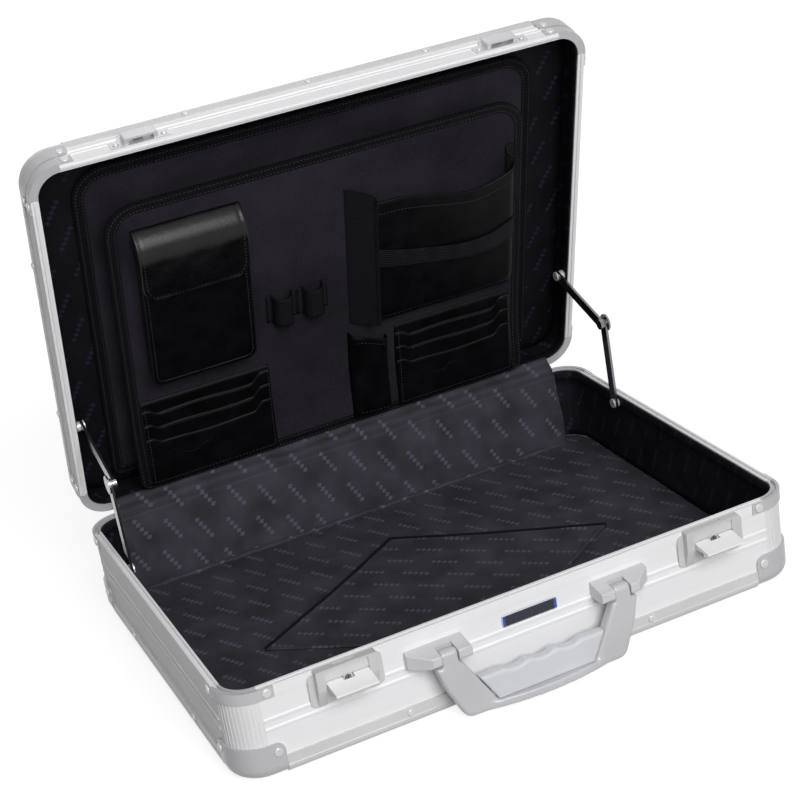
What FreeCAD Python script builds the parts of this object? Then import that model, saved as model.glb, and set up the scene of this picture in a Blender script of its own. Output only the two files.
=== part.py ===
import FreeCAD, Part
import math
import os
import re
import Sketcher

# Aluminium attache case, shown with its lid standing open.
# X runs to the right, Y to the back, Z up. The origin is the middle of the underside.

sizes = {
    # Shell: outer faces of the flat wall bands, and the two halves
    "case_width": 458.0,
    "case_depth": 331.0,
    "base_height": 72.0,
    "lid_height": 32.0,
    "rim_gap": 0.6,
    "lid_open_angle": 72.7,
    "corner_radius": 24.0,
    "overrun": 2.0,
    "fit_clearance": 0.05,
    "slide_clearance": 0.5,
    # Wall extrusions: sheet, rim channel, tongue and groove, raised ribs
    "wall_sheet": 1.8,
    "wall_foot_rise": 7.4,
    "rim_height": 8.5,
    "rim_inset": 5.1,
    "rim_proud": 0.9,
    "rim_taper": 1.2,
    "groove_inset": 3.2,
    "groove_width": 2.4,
    "groove_depth": 1.7,
    "tongue_clearance": 0.4,
    "rib_width": 3.4,
    "base_rib_drop": 26.0,
    "lid_rib_drop": 11.0,
    "rib_pitch": 7.6,
    "lid_rib_pitch": 4.4,
    # Corner posts with their upright flutes
    "flute_width": 1.4,
    "flute_proud": 0.25,
    "flute_count": 11,
    "flute_step": 7.5,
    # Corner ears, caps and edge trims
    "ear_length": 11.0,
    "ear_sheet": 0.8,
    "cap_sheet": 2.2,
    "cap_round": 10.0,
    "cap_height": 27.0,
    "lid_cap_height": 22.0,
    "cap_flange": 15.0,
    "cap_ear_round_share": 0.24,
    "trim_sheet": 1.5,
    "trim_round": 6.2,
    "trim_bead_rise": 7.1,
    "trim_bead_width": 1.0,
    "trim_bead_proud": 0.5,
    "trim_height": 15.0,
    "lid_trim_height": 11.5,
    "trim_flange": 14.0,
    # Panels and lining boards
    "panel_sheet": 2.4,
    "lining_sheet": 2.0,
    "lining_gap": 0.3,
    "floor_inset": 3.4,
    "back_flap_lean": 12.0,
    "back_flap_inset": 24.0,
    "floor_pocket_sheet": 1.6,
    "floor_pocket_half_width": 152.0,
    "floor_pocket_back": 86.0,
    "floor_pocket_front": 122.0,
    "floor_pocket_side": 12.0,
    # Rivets
    "rivet_radius": 2.9,
    "ear_rivet_radius": 3.5,
    "rivet_height": 1.3,
    "rivet_round_share": 0.8,
    "rivet_spacing": 99.5,
    "rivet_side_spacing": 72.0,
    "trim_rivet_drop": 4.2,
    "lid_trim_rivet_drop": 3.3,
    "cap_rivet_drop": 6.5,
    "lid_cap_rivet_drop": 4.8,
    # Continuous hinge along the back
    "hinge_pin_radius": 1.2,
    "knuckle_radius": 2.6,
    "knuckle_count": 13,
    "knuckle_gap": 0.4,
    "hinge_sheet": 0.9,
    "hinge_leaf_height": 7.0,
    "hinge_back_gap": 0.4,
    "hinge_end_gap": 4.0,
    # Folding lid stays
    "stay_pivot_inset": 88.5,
    "stay_pivot_drop": 7.5,
    "stay_arm": 73.5,
    "stay_width": 9.0,
    "stay_sheet": 2.0,
    "stay_wall_gap": 2.5,
    "stay_layer_gap": 0.5,
    "stay_shank_radius": 2.4,
    "stay_head_radius": 4.0,
    "stay_head_height": 1.2,
    "elbow_radius": 7.5,
    "elbow_sheet": 1.4,
    # Flip latches
    "latch_left_x": 142.0,
    "latch_right_x": 155.3,
    "latch_width": 46.0,
    "latch_height": 29.0,
    "latch_depth": 7.4,
    "latch_foot_depth": 2.6,
    "latch_recess": 1.5,
    "latch_bend": 9.0,
    "latch_plate": 1.2,
    "latch_plate_side": 5.0,
    "latch_plate_drop": 3.4,
    "latch_plate_round": 4.0,
    "latch_cheek": 6.5,
    "latch_cover": 1.4,
    "lever_length": 17.5,
    "lever_sheet": 1.8,
    "lever_drop": 12.0,
    "lever_droop": 2.4,
    "lever_side_sheet": 1.2,
    "lever_side_depth": 2.6,
    "lever_knuckle": 1.6,
    "lever_pin_radius": 0.9,
    "lever_pin_length": 2.5,
    "bolt_width": 16.0,
    "bolt_sheet": 1.3,
    "bolt_rail": 2.6,
    "bolt_travel": 7.5,
    "lock_radius": 2.6,
    "lock_face": 0.6,
    "key_slot_width": 0.9,
    "key_slot_length": 3.2,
    "key_slot_depth": 3.0,
    "lock_boss": 1.2,
    "bolt_out": 2.4,
    # Keepers on the lid
    "keeper_width": 46.0,
    "keeper_height": 17.0,
    "keeper_ear_height": 9.0,
    "keeper_head_width": 32.0,
    "keeper_plate": 1.0,
    "keeper_rivet_radius": 2.3,
    "keeper_rivet_height": 1.1,
    "keeper_rivet_inset": 4.4,
    "keeper_tab_width": 8.0,
    "keeper_tab_proud": 2.6,
    "keeper_tab_drop": 1.4,
    "keeper_bridge_width": 26.0,
    "keeper_bridge_depth": 7.0,
    "keeper_bridge_height": 10.0,
    "keeper_bar": 1.6,
    "keeper_bridge_round": 1.5,
    # Carrying handle
    "handle_x": 69.8,
    "handle_pivot_z": 52.5,
    "handle_pivot_out": 12.5,
    "handle_tilt": 5.5,
    "bracket_inner": 17.3,
    "bracket_outer": 27.7,
    "bracket_nose": 13.5,
    "bracket_nose_out": 5.5,
    "bracket_depth": 18.5,
    "bracket_foot": 6.1,
    "bracket_crown": 6.1,
    "bracket_brow": 3.4,
    "bracket_lip": 4.8,
    "bracket_round": 2.5,
    "bracket_edge": 0.8,
    "slot_gap": 1.5,
    "arm_width": 12.4,
    "arm_head": 4.2,
    "arm_neck": 7.2,
    "arm_clearance": 0.5,
    "shoulder_outer": 5.6,
    "shoulder_inner": 2.6,
    "arm_bend_x": 77.0,
    "arm_bend_drop": 24.5,
    "arm_bend_round": 30.0,
    "handle_length": 51.4,
    "handle_half_width": 65.0,
    "handle_thickness": 10.0,
    "handle_bar": 6.0,
    "handle_belly": 6.0,
    "handle_corner": 9.0,
    "handle_edge": 2.4,
    "head_round": 3.8,
    "trunnion_radius": 2.2,
    "trunnion_length": 3.0,
    "grip_height": 21.0,
    "grip_foot_half_width": 39.0,
    "grip_edge": 2.0,
    "finger_radius": 17.0,
    "finger_depth": 2.2,
    "finger_pitch": 22.0,
    "finger_count": 3,
    # Lid organizer: back panel, front panel and the bellows between them
    "organizer_side_inset": 35.0,
    "organizer_foot_inset": 17.5,
    "organizer_head_inset": 23.5,
    "organizer_step_in": 16.0,
    "organizer_step_down": 28.0,
    "organizer_corner": 26.0,
    "organizer_foot_corner": 8.0,
    "organizer_sheet": 3.4,
    "organizer_gap": 14.0,
    "gusset_sheet": 1.4,
    "gusset_inset": 6.0,
    "gusset_width": 120.0,
    "organizer_seat": 0.3,
    # Pockets on the organizer
    "pocket_edge": 2.0,
    "phone_inset": 19.0,
    "phone_width": 88.0,
    "phone_drop": 24.0,
    "phone_rise": 23.0,
    "phone_depth": 15.0,
    "pocket_sheet": 1.6,
    "flap_drop": 56.0,
    "flap_sheet": 1.8,
    "card_inset": 11.0,
    "card_rise": 5.0,
    "card_height": 72.0,
    "card_gap": 7.5,
    "card_sheet": 1.0,
    "card_steps": 3,
    "card_step_height": 14.0,
    "loop_gap": 20.5,
    "loop_pitch": 27.0,
    "loop_width": 17.0,
    "loop_length": 26.0,
    "loop_height": 12.0,
    "loop_sheet": 1.4,
    "loop_round": 4.0,
    "loop_rise": 18.0,
    "media_inset": 6.0,
    "media_gap": 24.5,
    "media_drop": 52.0,
    "media_rise": 4.0,
    "media_depth": 14.0,
    "strap_width": 13.0,
    "strap_inset": 17.0,
    "strap_sheet": 1.2,
    "small_width": 32.0,
    "small_height": 79.0,
    "small_depth": 11.0,
}

doc = FreeCAD.newDocument("AttacheCase")
sheet = doc.addObject("Spreadsheet::Sheet", "Sizes")
for row, (alias, value) in enumerate(sizes.items(), start=1):
    sheet.set(f"A{row}", alias)
    sheet.set(f"B{row}", str(value))
    sheet.setAlias(f"B{row}", alias)
doc.recompute()

alias_words = re.compile(r"\b(" + "|".join(sizes) + r")\b")
x_axis = FreeCAD.Vector(1, 0, 0)
z_axis = FreeCAD.Vector(0, 0, 1)
nodes = []


def number(text):
    """Value of a size formula, in millimetres or degrees."""
    return float(sheet.evalExpression(text))


def bind(obj, prop, text):
    """Tie a property to the sheet by a formula written in its aliases."""
    obj.setExpression(prop, alias_words.sub(r"Sizes.\1", text))


def point(x="0", y="0", z="0"):
    return FreeCAD.Vector(number(x), number(y), number(z))


# Hinge line and the lid's swing from closed to its photographed opening
hinge_y = "(case_depth / 2 + rim_proud + knuckle_radius + hinge_back_gap)"
hinge_z = "(base_height + rim_gap / 2)"
lid_rim = "(base_height + rim_gap)"
lid_swing = FreeCAD.Placement(
    FreeCAD.Vector(),
    FreeCAD.Rotation(x_axis, -number("lid_open_angle")),
    point("0", hinge_y, hinge_z),
)


def seat(obj, place, on_lid=False):
    """Put a piece at its place, turned with the lid where it belongs to it."""
    obj.Placement = lid_swing.multiply(place) if on_lid else place


def at(x="0", y="0", z="0", turn=0):
    return FreeCAD.Placement(point(x, y, z), FreeCAD.Rotation(z_axis, turn))


def new_body(label):
    body = doc.addObject("PartDesign::Body", label)
    body.Label = label
    return body


def keep(obj):
    """Count an object as a finished sub-part."""
    nodes.append(obj)
    return obj


def sketch_on(body, role, name, start="0"):
    """Sketch on one of the body's own planes, lifted off it by a formula."""
    sketch = body.newObject("Sketcher::SketchObject", f"{body.Name}_{name}")
    plane = next(item for item in body.Origin.OriginFeatures if item.Role == role)
    sketch.AttachmentSupport = [(plane, "")]
    sketch.MapMode = "FlatFace"
    bind(sketch, "AttachmentOffset.Base.z", start)
    return sketch


def tie(sketch, kind, geometry, corner, text):
    index = sketch.addConstraint(Sketcher.Constraint(kind, geometry, corner, number(text)))
    if alias_words.search(text):
        bind(sketch, f"Constraints[{index}]", text)


def outline(sketch, points):
    """Closed outline through formula points."""
    first = sketch.GeometryCount
    count = len(points)
    spots = [point(x, y) for x, y in points]
    for index, spot in enumerate(spots):
        sketch.addGeometry(Part.LineSegment(spot, spots[(index + 1) % count]), False)
    for index, (x, y) in enumerate(points):
        following = first + (index + 1) % count
        sketch.addConstraint(Sketcher.Constraint("Coincident", first + index, 2, following, 1))
        tie(sketch, "DistanceX", first + index, 1, x)
        tie(sketch, "DistanceY", first + index, 1, y)


def rectangle(sketch, x0, x1, y0, y1):
    outline(sketch, [(x0, y0), (x1, y0), (x1, y1), (x0, y1)])


def circle(sketch, x, y, radius):
    geometry = sketch.addGeometry(Part.Circle(point(x, y), z_axis, number(radius)), False)
    tie(sketch, "DistanceX", geometry, 3, x)
    tie(sketch, "DistanceY", geometry, 3, y)
    index = sketch.addConstraint(Sketcher.Constraint("Radius", geometry, number(radius)))
    bind(sketch, f"Constraints[{index}]", radius)


def rounded_rectangle(sketch, x0, x1, y0, y1, radius):
    """Rectangle with four equal round corners."""
    left, right, low, high = number(x0), number(x1), number(y0), number(y1)
    turn = number(radius)
    corners = [
        (right - turn, high - turn, 0),
        (left + turn, high - turn, 1),
        (left + turn, low + turn, 2),
        (right - turn, low + turn, 3),
    ]
    arcs = []
    for x, y, quarter in corners:
        ring = Part.Circle(FreeCAD.Vector(x, y, 0), z_axis, turn)
        start = quarter * math.pi / 2
        arcs.append(sketch.addGeometry(Part.ArcOfCircle(ring, start, start + math.pi / 2), False))
    sides = []
    for index, arc in enumerate(arcs):
        following = arcs[(index + 1) % 4]
        begin = sketch.getPoint(arc, 2)
        finish = sketch.getPoint(following, 1)
        sides.append(sketch.addGeometry(Part.LineSegment(begin, finish), False))
    for index, side in enumerate(sides):
        following = arcs[(index + 1) % 4]
        sketch.addConstraint(Sketcher.Constraint("Tangent", arcs[index], 2, side, 1))
        sketch.addConstraint(Sketcher.Constraint("Tangent", side, 2, following, 1))
        direction = "Horizontal" if index % 2 == 0 else "Vertical"
        sketch.addConstraint(Sketcher.Constraint(direction, side))
    tie(sketch, "DistanceY", sides[0], 1, y1)
    tie(sketch, "DistanceX", sides[1], 1, x0)
    tie(sketch, "DistanceY", sides[2], 1, y0)
    tie(sketch, "DistanceX", sides[3], 1, x1)
    index = sketch.addConstraint(Sketcher.Constraint("Radius", arcs[0], turn))
    bind(sketch, f"Constraints[{index}]", radius)
    for arc in arcs[1:]:
        sketch.addConstraint(Sketcher.Constraint("Equal", arcs[0], arc))


def pad(body, sketch, length, middle=False, backwards=False):
    feature = body.newObject("PartDesign::Pad", f"{sketch.Name}_pad")
    feature.Profile = sketch
    bind(feature, "Length", length)
    feature.Midplane = middle
    feature.Reversed = backwards
    sketch.Visibility = False
    return feature


def pocket(body, sketch, length, middle=False, backwards=False):
    """Cut, checked to have taken material away."""
    doc.recompute()
    before = body.Shape.Volume
    feature = body.newObject("PartDesign::Pocket", f"{sketch.Name}_cut")
    feature.Profile = sketch
    bind(feature, "Length", length)
    feature.Midplane = middle
    feature.Reversed = backwards
    doc.recompute()
    if body.Shape.Volume >= before:
        raise RuntimeError(f"{feature.Name} cuts nothing")
    return feature


def revolve(body, sketch, angle):
    feature = body.newObject("PartDesign::Revolution", f"{sketch.Name}_turn")
    feature.Profile = sketch
    feature.ReferenceAxis = (sketch, ["V_Axis"])
    feature.Angle = angle
    return feature


def repeat(body, features, spacing, count):
    """Repeat features along X."""
    pattern = body.newObject("PartDesign::LinearPattern", f"{features[-1].Name}_row")
    pattern.Originals = features
    axis = next(item for item in body.Origin.OriginFeatures if item.Role == "X_Axis")
    pattern.Direction = (axis, [""])
    bind(pattern, "Length", f"({spacing}) * ({count} - 1)")
    pattern.Occurrences = int(round(number(count)))
    body.Tip = pattern
    return pattern


def soften(body, radius, choose):
    """Round the edges of the body that a test picks by their middle and size."""
    doc.recompute()
    names = []
    for index, edge in enumerate(body.Shape.Edges, start=1):
        if choose(edge):
            names.append(f"Edge{index}")
    feature = body.newObject("PartDesign::Fillet", f"{body.Name}_soft")
    feature.Base = (body.Tip if body.Tip != feature else feature.BaseFeature, names)
    bind(feature, "Radius", radius)
    return feature


def close_to(value, text):
    return abs(value - number(text)) < 1e-6


def edge_at(**spots):
    """Test for an edge whose middle lies at the given coordinates."""
    def chosen(edge):
        middle = edge.CenterOfMass
        return all(close_to(getattr(middle, axis), text) for axis, text in spots.items())
    return chosen


def group(label, shapes):
    """Several equal pieces in one node, each a separate solid."""
    feature = doc.addObject("Part::Feature", label)
    feature.Label = label
    feature.Shape = Part.makeCompound(shapes)
    return keep(feature)


def copies(body, places, on_lid=False):
    """The body's solid at each place."""
    doc.recompute()
    shapes = []
    for place in places:
        solid = body.Shape.copy()
        solid.Placement = (lid_swing.multiply(place) if on_lid else place).multiply(solid.Placement)
        shapes.append(solid)
    return shapes


# Places that repeat round the case: four sides and four corners
def side_places(level):
    return {
        "front": at("0", "-case_depth / 2", level, 0),
        "right": at("case_width / 2", "0", level, 90),
        "back": at("0", "case_depth / 2", level, 180),
        "left": at("-case_width / 2", "0", level, -90),
    }


def corner_places(level):
    x = "(case_width / 2 - corner_radius)"
    y = "(case_depth / 2 - corner_radius)"
    return [
        at(x, y, level, 0),
        at(f"-{x}", y, level, 90),
        at(f"-{x}", f"-{y}", level, 180),
        at(x, f"-{y}", level, 270),
    ]


side_lengths = {
    "front": "(case_width - 2 * corner_radius)",
    "back": "(case_width - 2 * corner_radius)",
    "left": "(case_depth - 2 * corner_radius)",
    "right": "(case_depth - 2 * corner_radius)",
}

# The two halves share one set of sections, counted from the rim: down on the base, up on the lid
halves = {
    "base": {
        "way": "-1",
        "rim": "base_height",
        "height": "base_height",
        "rib_drop": "base_rib_drop",
        "rib_pitch": "rib_pitch",
        "cap": "cap_height",
        "trim": "trim_height",
        "cap_rivet": "cap_rivet_drop",
        "trim_rivet": "trim_rivet_drop",
        "ear_inside": "0",
        "on_lid": False,
    },
    "lid": {
        "way": "1",
        "rim": lid_rim,
        "height": "lid_height",
        "rib_drop": "lid_rib_drop",
        "rib_pitch": "lid_rib_pitch",
        "cap": "lid_cap_height",
        "trim": "lid_trim_height",
        "cap_rivet": "lid_cap_rivet_drop",
        "trim_rivet": "lid_trim_rivet_drop",
        "ear_inside": "(rim_proud + fit_clearance)",
        "on_lid": True,
    },
}


def wall_section(half, side):
    """Extrusion section: out from the wall band against drop from the rim."""
    groove_in = "-(groove_inset)"
    groove_out = "-(groove_inset - groove_width)"
    reach = f"({half['height']} - wall_foot_rise)"
    section = [("0", reach)]
    for step in ("1", "0"):
        middle = f"({half['rib_drop']} + {step} * {half['rib_pitch']})"
        section += [
            ("0", f"{middle} + rib_width / 2"),
            ("rim_proud", f"{middle} + rib_width / 4"),
            ("rim_proud", f"{middle} - rib_width / 4"),
            ("0", f"{middle} - rib_width / 2"),
        ]
    section += [("0", "rim_height"), ("rim_proud", "rim_height"), ("rim_proud", "0")]
    if half["way"] == "-1":
        section += [
            (groove_out, "0"),
            (groove_out, "groove_depth"),
            (groove_in, "groove_depth"),
            (groove_in, "0"),
        ]
    elif side != "back":
        section += [
            (f"{groove_out} - tongue_clearance", "0"),
            (f"{groove_out} - tongue_clearance", "-(groove_depth - tongue_clearance)"),
            (f"{groove_in} + tongue_clearance", "-(groove_depth - tongue_clearance)"),
            (f"{groove_in} + tongue_clearance", "0"),
        ]
    section += [
        ("-rim_inset", "0"),
        ("-rim_inset", "rim_height"),
        ("-wall_sheet", "rim_height + rim_taper"),
        ("-wall_sheet", reach),
    ]
    return [(f"-({out})", f"{half['way']} * ({drop})") for out, drop in section]


def build_walls(name, half):
    for side, place in side_places(half["rim"]).items():
        body = new_body(f"{name}_{side}_wall")
        section = sketch_on(body, "YZ_Plane", "section")
        outline(section, wall_section(half, side))
        pad(body, section, side_lengths[side], middle=True)
        seat(body, place, half["on_lid"])
        keep(body)


def corner_post(name, half):
    """Quarter-round corner post with upright flutes."""
    body = new_body(f"{name}_corner_post")
    foot = f"{half['way']} * ({half['height']} - cap_round)"
    head = f"{half['way']} * rim_height"
    section = sketch_on(body, "XZ_Plane", "section")
    rectangle(section, "corner_radius - wall_sheet", "corner_radius", foot, head)
    revolve(body, section, 90)
    drop = f"({half['height']} - {half['cap']} - rim_height)"
    spread = "(flute_step * (flute_count - 1))"
    for index in range(int(number("flute_count"))):
        angle = f"(45 - {spread} / 2 + flute_step * {index})"
        flute = sketch_on(body, "XY_Plane", f"flute_{index}", head)
        bind(flute, "AttachmentOffset.Rotation.Angle", angle)
        rectangle(
            flute,
            "corner_radius - flute_proud",
            "corner_radius + flute_proud",
            "-flute_width / 2",
            "flute_width / 2",
        )
        pad(body, flute, drop, backwards=half["way"] == "-1")
    return body


def rim_corner(name, half):
    """Rim channel round the corner, with an ear on each wall."""
    body = new_body(f"{name}_rim_corner")
    groove_in = "corner_radius - groove_inset"
    groove_out = "corner_radius - groove_inset + groove_width"
    skin = "corner_radius + rim_proud + ear_sheet"
    low = f"{half['way']} * rim_height"
    points = [("corner_radius - rim_inset", low), (skin, low), (skin, "0")]
    if half["way"] == "-1":
        points += [
            (groove_out, "0"),
            (groove_out, "-groove_depth"),
            (groove_in, "-groove_depth"),
            (groove_in, "0"),
        ]
    points += [("corner_radius - rim_inset", "0")]
    section = sketch_on(body, "XZ_Plane", "section")
    outline(section, points)
    revolve(body, section, 90)
    ears = {
        "first": ("corner_radius + rim_proud", skin, "-ear_length", "0"),
        "second": ("-ear_length", "0", "corner_radius + rim_proud", skin),
    }
    for ear, (x0, x1, y0, y1) in ears.items():
        plate = sketch_on(body, "XY_Plane", f"{ear}_ear")
        rectangle(plate, x0, x1, y0, y1)
        pad(body, plate, "rim_height", backwards=half["way"] == "-1")
    return body


def corner_cap(name, half):
    """Moulded cap over the outer corner, rounded under, with an ear on each wall."""
    body = new_body(f"{name}_corner_cap")
    bottom = f"{half['way']} * {half['height']}"
    inner = f"{half['way']} * ({half['height']} - trim_sheet)"
    top = f"{half['way']} * ({half['height']} - {half['cap']})"
    skin = "corner_radius + cap_sheet"
    points = [
        ("corner_radius - cap_flange", bottom),
        (skin, bottom),
        (skin, top),
        ("corner_radius", top),
        ("corner_radius", inner),
        ("corner_radius - cap_flange", inner),
    ]
    section = sketch_on(body, "XZ_Plane", "section")
    outline(section, points)
    revolve(body, section, 90)
    ear_points = points
    if half["on_lid"]:
        # The lid's ears reach over its ribs
        inside = f"corner_radius + {half['ear_inside']}"
        clear = f"({half['rib_drop']} + {half['rib_pitch']} + rib_width / 2 + lining_gap)"
        past_ribs = f"{half['way']} * {clear}"
        relief = [(inside, top), (inside, past_ribs), ("corner_radius", past_ribs)]
        ear_points = points[:3] + relief + points[4:]
    first = sketch_on(body, "XZ_Plane", "first_ear")
    outline(first, ear_points)
    pad(body, first, "ear_length")
    second = sketch_on(body, "YZ_Plane", "second_ear")
    outline(second, ear_points)
    pad(body, second, "ear_length", backwards=True)
    return body


def round_corner_cap(body, half):
    def rim_edge(level, radius):
        def chosen(edge):
            spot = edge.valueAt((edge.FirstParameter + edge.LastParameter) / 2)
            reaches = (spot.x, spot.y, math.hypot(spot.x, spot.y))
            return close_to(spot.z, level) and any(close_to(reach, radius) for reach in reaches)
        return chosen

    bottom = f"{half['way']} * {half['height']}"
    inner = f"{half['way']} * ({half['height']} - trim_sheet)"
    soften(body, "cap_round", rim_edge(bottom, "corner_radius + cap_sheet"))
    soften(body, "cap_round - cap_sheet", rim_edge(inner, "corner_radius"))
    top = f"{half['way']} * ({half['height']} - {half['cap']})"
    ear_skin = f"corner_radius + ({half['ear_inside']} + cap_sheet) / 2"
    first_corner = edge_at(x=ear_skin, y="-ear_length", z=top)
    second_corner = edge_at(x="-ear_length", y=ear_skin, z=top)
    ear_round = f"{half['cap']} * cap_ear_round_share"
    soften(body, ear_round, lambda edge: first_corner(edge) or second_corner(edge))
    return body


def edge_trim(name, half, side):
    """Riveted angle over the outer edge of one wall, beaded along the base."""
    body = new_body(f"{name}_{side}_trim")
    bottom = f"{half['way']} * {half['height']}"
    inner = f"{half['way']} * ({half['height']} - trim_sheet)"
    top = f"{half['way']} * ({half['height']} - {half['trim']})"
    section = sketch_on(body, "YZ_Plane", "section")
    bead = []
    if not half["on_lid"]:
        bead_middle = f"{bottom} - {half['way']} * trim_bead_rise"
        bead = [
            ("-trim_sheet", f"{bead_middle} - trim_bead_width / 2"),
            ("-trim_sheet - trim_bead_proud", bead_middle),
            ("-trim_sheet", f"{bead_middle} + trim_bead_width / 2"),
        ]
    outline(section, [
        ("trim_flange", bottom),
        ("-trim_sheet", bottom),
        *bead,
        ("-trim_sheet", top),
        ("0", top),
        ("0", inner),
        ("trim_flange", inner),
    ])
    pad(body, section, f"{side_lengths[side]} - 2 * ear_length", middle=True)
    soften(body, "trim_round", edge_at(x="0", y="-trim_sheet", z=bottom))
    soften(body, "trim_round - trim_sheet", edge_at(x="0", y="0", z=inner))
    return body


def build_half(name, half):
    on_lid = half["on_lid"]
    rim = half["rim"]
    build_walls(name, half)
    group(f"{name}_corner_posts", copies(corner_post(name, half), corner_places(rim), on_lid))
    group(f"{name}_rim_corners", copies(rim_corner(name, half), corner_places(rim), on_lid))
    cap = round_corner_cap(corner_cap(name, half), half)
    group(f"{name}_corner_caps", copies(cap, corner_places(rim), on_lid))
    trims = []
    for side, place in side_places(rim).items():
        trims += copies(edge_trim(name, half, side), [place], on_lid)
    group(f"{name}_edge_trims", trims)
    # Flat panel lying on the trims' flanges, its field stepped out flush with them
    panel = new_body(f"{name}_panel")
    layers = {
        "board": ("(cap_round - cap_sheet + lining_gap)", "trim_sheet", "panel_sheet"),
        "field": ("(cap_flange + slide_clearance)", "0", "trim_sheet"),
    }
    for layer, (inset, start, thickness) in layers.items():
        face = sketch_on(panel, "XY_Plane", layer, f"{half['way']} * ({half['height']} - {start})")
        rounded_rectangle(
            face,
            f"-(case_width / 2 - {inset})",
            f"case_width / 2 - {inset}",
            f"-(case_depth / 2 - {inset})",
            f"case_depth / 2 - {inset}",
            f"corner_radius - {inset}",
        )
        pad(panel, face, thickness, backwards=half["way"] == "1")
    seat(panel, at("0", "0", rim), on_lid)
    keep(panel)


for half_name, half_sizes in halves.items():
    build_half(half_name, half_sizes)


def lining_ring(name, half):
    """Cloth-covered lining that runs round inside the walls and posts."""
    body = new_body(f"{name}_wall_lining")
    low = f"{half['way']} * ({half['height']} - trim_sheet - panel_sheet - lining_sheet)"
    band = sketch_on(body, "XY_Plane", "band", low)
    for inset in ("wall_sheet", "(wall_sheet + lining_sheet)"):
        rounded_rectangle(
            band,
            f"-(case_width / 2 - {inset})",
            f"case_width / 2 - {inset}",
            f"-(case_depth / 2 - {inset})",
            f"case_depth / 2 - {inset}",
            f"corner_radius - {inset}",
        )
    taken = "(trim_sheet + panel_sheet + lining_sheet + rim_height + rim_taper + lining_gap)"
    pad(body, band, f"{half['height']} - {taken}", backwards=half["way"] == "1")
    seat(body, at("0", "0", half["rim"]), half["on_lid"])
    return keep(body)


def lining_board(name, half, label):
    """Cloth-covered board on the inside of the flat panel."""
    body = new_body(label)
    level = f"{half['way']} * ({half['height']} - trim_sheet - panel_sheet)"
    face = sketch_on(body, "XY_Plane", "face", level)
    rounded_rectangle(
        face,
        "-(case_width / 2 - floor_inset)",
        "case_width / 2 - floor_inset",
        "-(case_depth / 2 - floor_inset)",
        "case_depth / 2 - floor_inset",
        "corner_radius - floor_inset",
    )
    pad(body, face, "lining_sheet", backwards=half["way"] == "1")
    seat(body, at("0", "0", half["rim"]), half["on_lid"])
    return keep(body)


floor_top = "(trim_sheet + panel_sheet + lining_sheet)"
inner_back = "(case_depth / 2 - wall_sheet - lining_sheet)"
inner_top = "(base_height - rim_height - rim_taper - lining_gap)"

lining_board("base", halves["base"], "base_floor_lining")
lining_board("lid", halves["lid"], "lid_panel_lining")
lining_ring("base", halves["base"])
lining_ring("lid", halves["lid"])


def back_flap():
    """Cloth flap that leans from under the hinge down to the floor."""
    body = new_body("base_back_flap")
    section = sketch_on(body, "YZ_Plane", "section")
    outline(section, [
        (f"{inner_back} - back_flap_lean - lining_sheet", floor_top),
        (f"{inner_back} - back_flap_lean", floor_top),
        (f"{inner_back} - lining_gap", inner_top),
        (f"{inner_back} - lining_gap - lining_sheet", inner_top),
    ])
    pad(body, section, "case_width - 2 * back_flap_inset", middle=True)
    return keep(body)


def floor_pocket():
    """Flat envelope pocket on the floor, folded to four points."""
    body = new_body("floor_pocket")
    face = sketch_on(body, "XY_Plane", "face", floor_top)
    outline(face, [
        ("-floor_pocket_half_width", "-floor_pocket_side"),
        ("0", "-floor_pocket_front"),
        ("floor_pocket_half_width", "-floor_pocket_side"),
        ("0", "floor_pocket_back"),
    ])
    pad(body, face, "floor_pocket_sheet")
    return keep(body)


back_flap()
floor_pocket()


def rivet(name, radius):
    """Domed rivet head, standing on its own Z axis."""
    body = new_body(name)
    face = sketch_on(body, "XY_Plane", "face")
    circle(face, "0", "0", radius)
    pad(body, face, "rivet_height")
    soften(body, "rivet_height * rivet_round_share", edge_at(x="0", z="rivet_height"))
    return body


def outward(x, drop, proud, way):
    """Place on a wall: along it, from the rim, with Z pointing out of the case."""
    turn = FreeCAD.Rotation(x_axis, 90)
    return FreeCAD.Placement(point(x, f"-({proud})", f"{way} * ({drop})"), turn)


small_rivet = rivet("rivet_head", "rivet_radius")
large_rivet = rivet("ear_rivet_head", "ear_rivet_radius")
for half_name, half_sizes in halves.items():
    small_spots = []
    large_spots = []
    for side, place in side_places(half_sizes["rim"]).items():
        ear = f"({side_lengths[side]} / 2 - ear_length / 2)"
        cap_drop = f"{half_sizes['height']} - {half_sizes['cap']} + {half_sizes['cap_rivet']}"
        ends = (f"-{ear}", ear)
        rim_heads = [(x, "rim_height / 2", "rim_proud + ear_sheet") for x in ends]
        cap_heads = [(x, cap_drop, "cap_sheet") for x in ends]
        along = ("-rivet_spacing", "0", "rivet_spacing")
        if side in ("left", "right"):
            along = ("-rivet_side_spacing", "rivet_side_spacing")
        trim_drop = f"{half_sizes['height']} - {half_sizes['trim']} + {half_sizes['trim_rivet']}"
        trim_heads = [(x, trim_drop, "trim_sheet") for x in along]
        on_lid = half_sizes["on_lid"]
        small_heads = trim_heads + cap_heads if on_lid else trim_heads
        large_heads = rim_heads if on_lid else rim_heads + cap_heads
        small_spots += [place.multiply(outward(*head, half_sizes["way"])) for head in small_heads]
        large_spots += [place.multiply(outward(*head, half_sizes["way"])) for head in large_heads]
    heads = copies(small_rivet, small_spots, on_lid) + copies(large_rivet, large_spots, on_lid)
    group(f"{half_name}_rivets", heads)

# Continuous hinge: leaf and knuckles of each half, taking turns along one pin
hinge_length = "(case_width - 2 * (corner_radius + ear_length + hinge_end_gap))"
knuckle_pitch = f"({hinge_length} / knuckle_count)"
leaf_in = "(case_depth / 2 + rim_proud)"
leaf_out = "(case_depth / 2 + rim_proud + hinge_sheet)"


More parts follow.
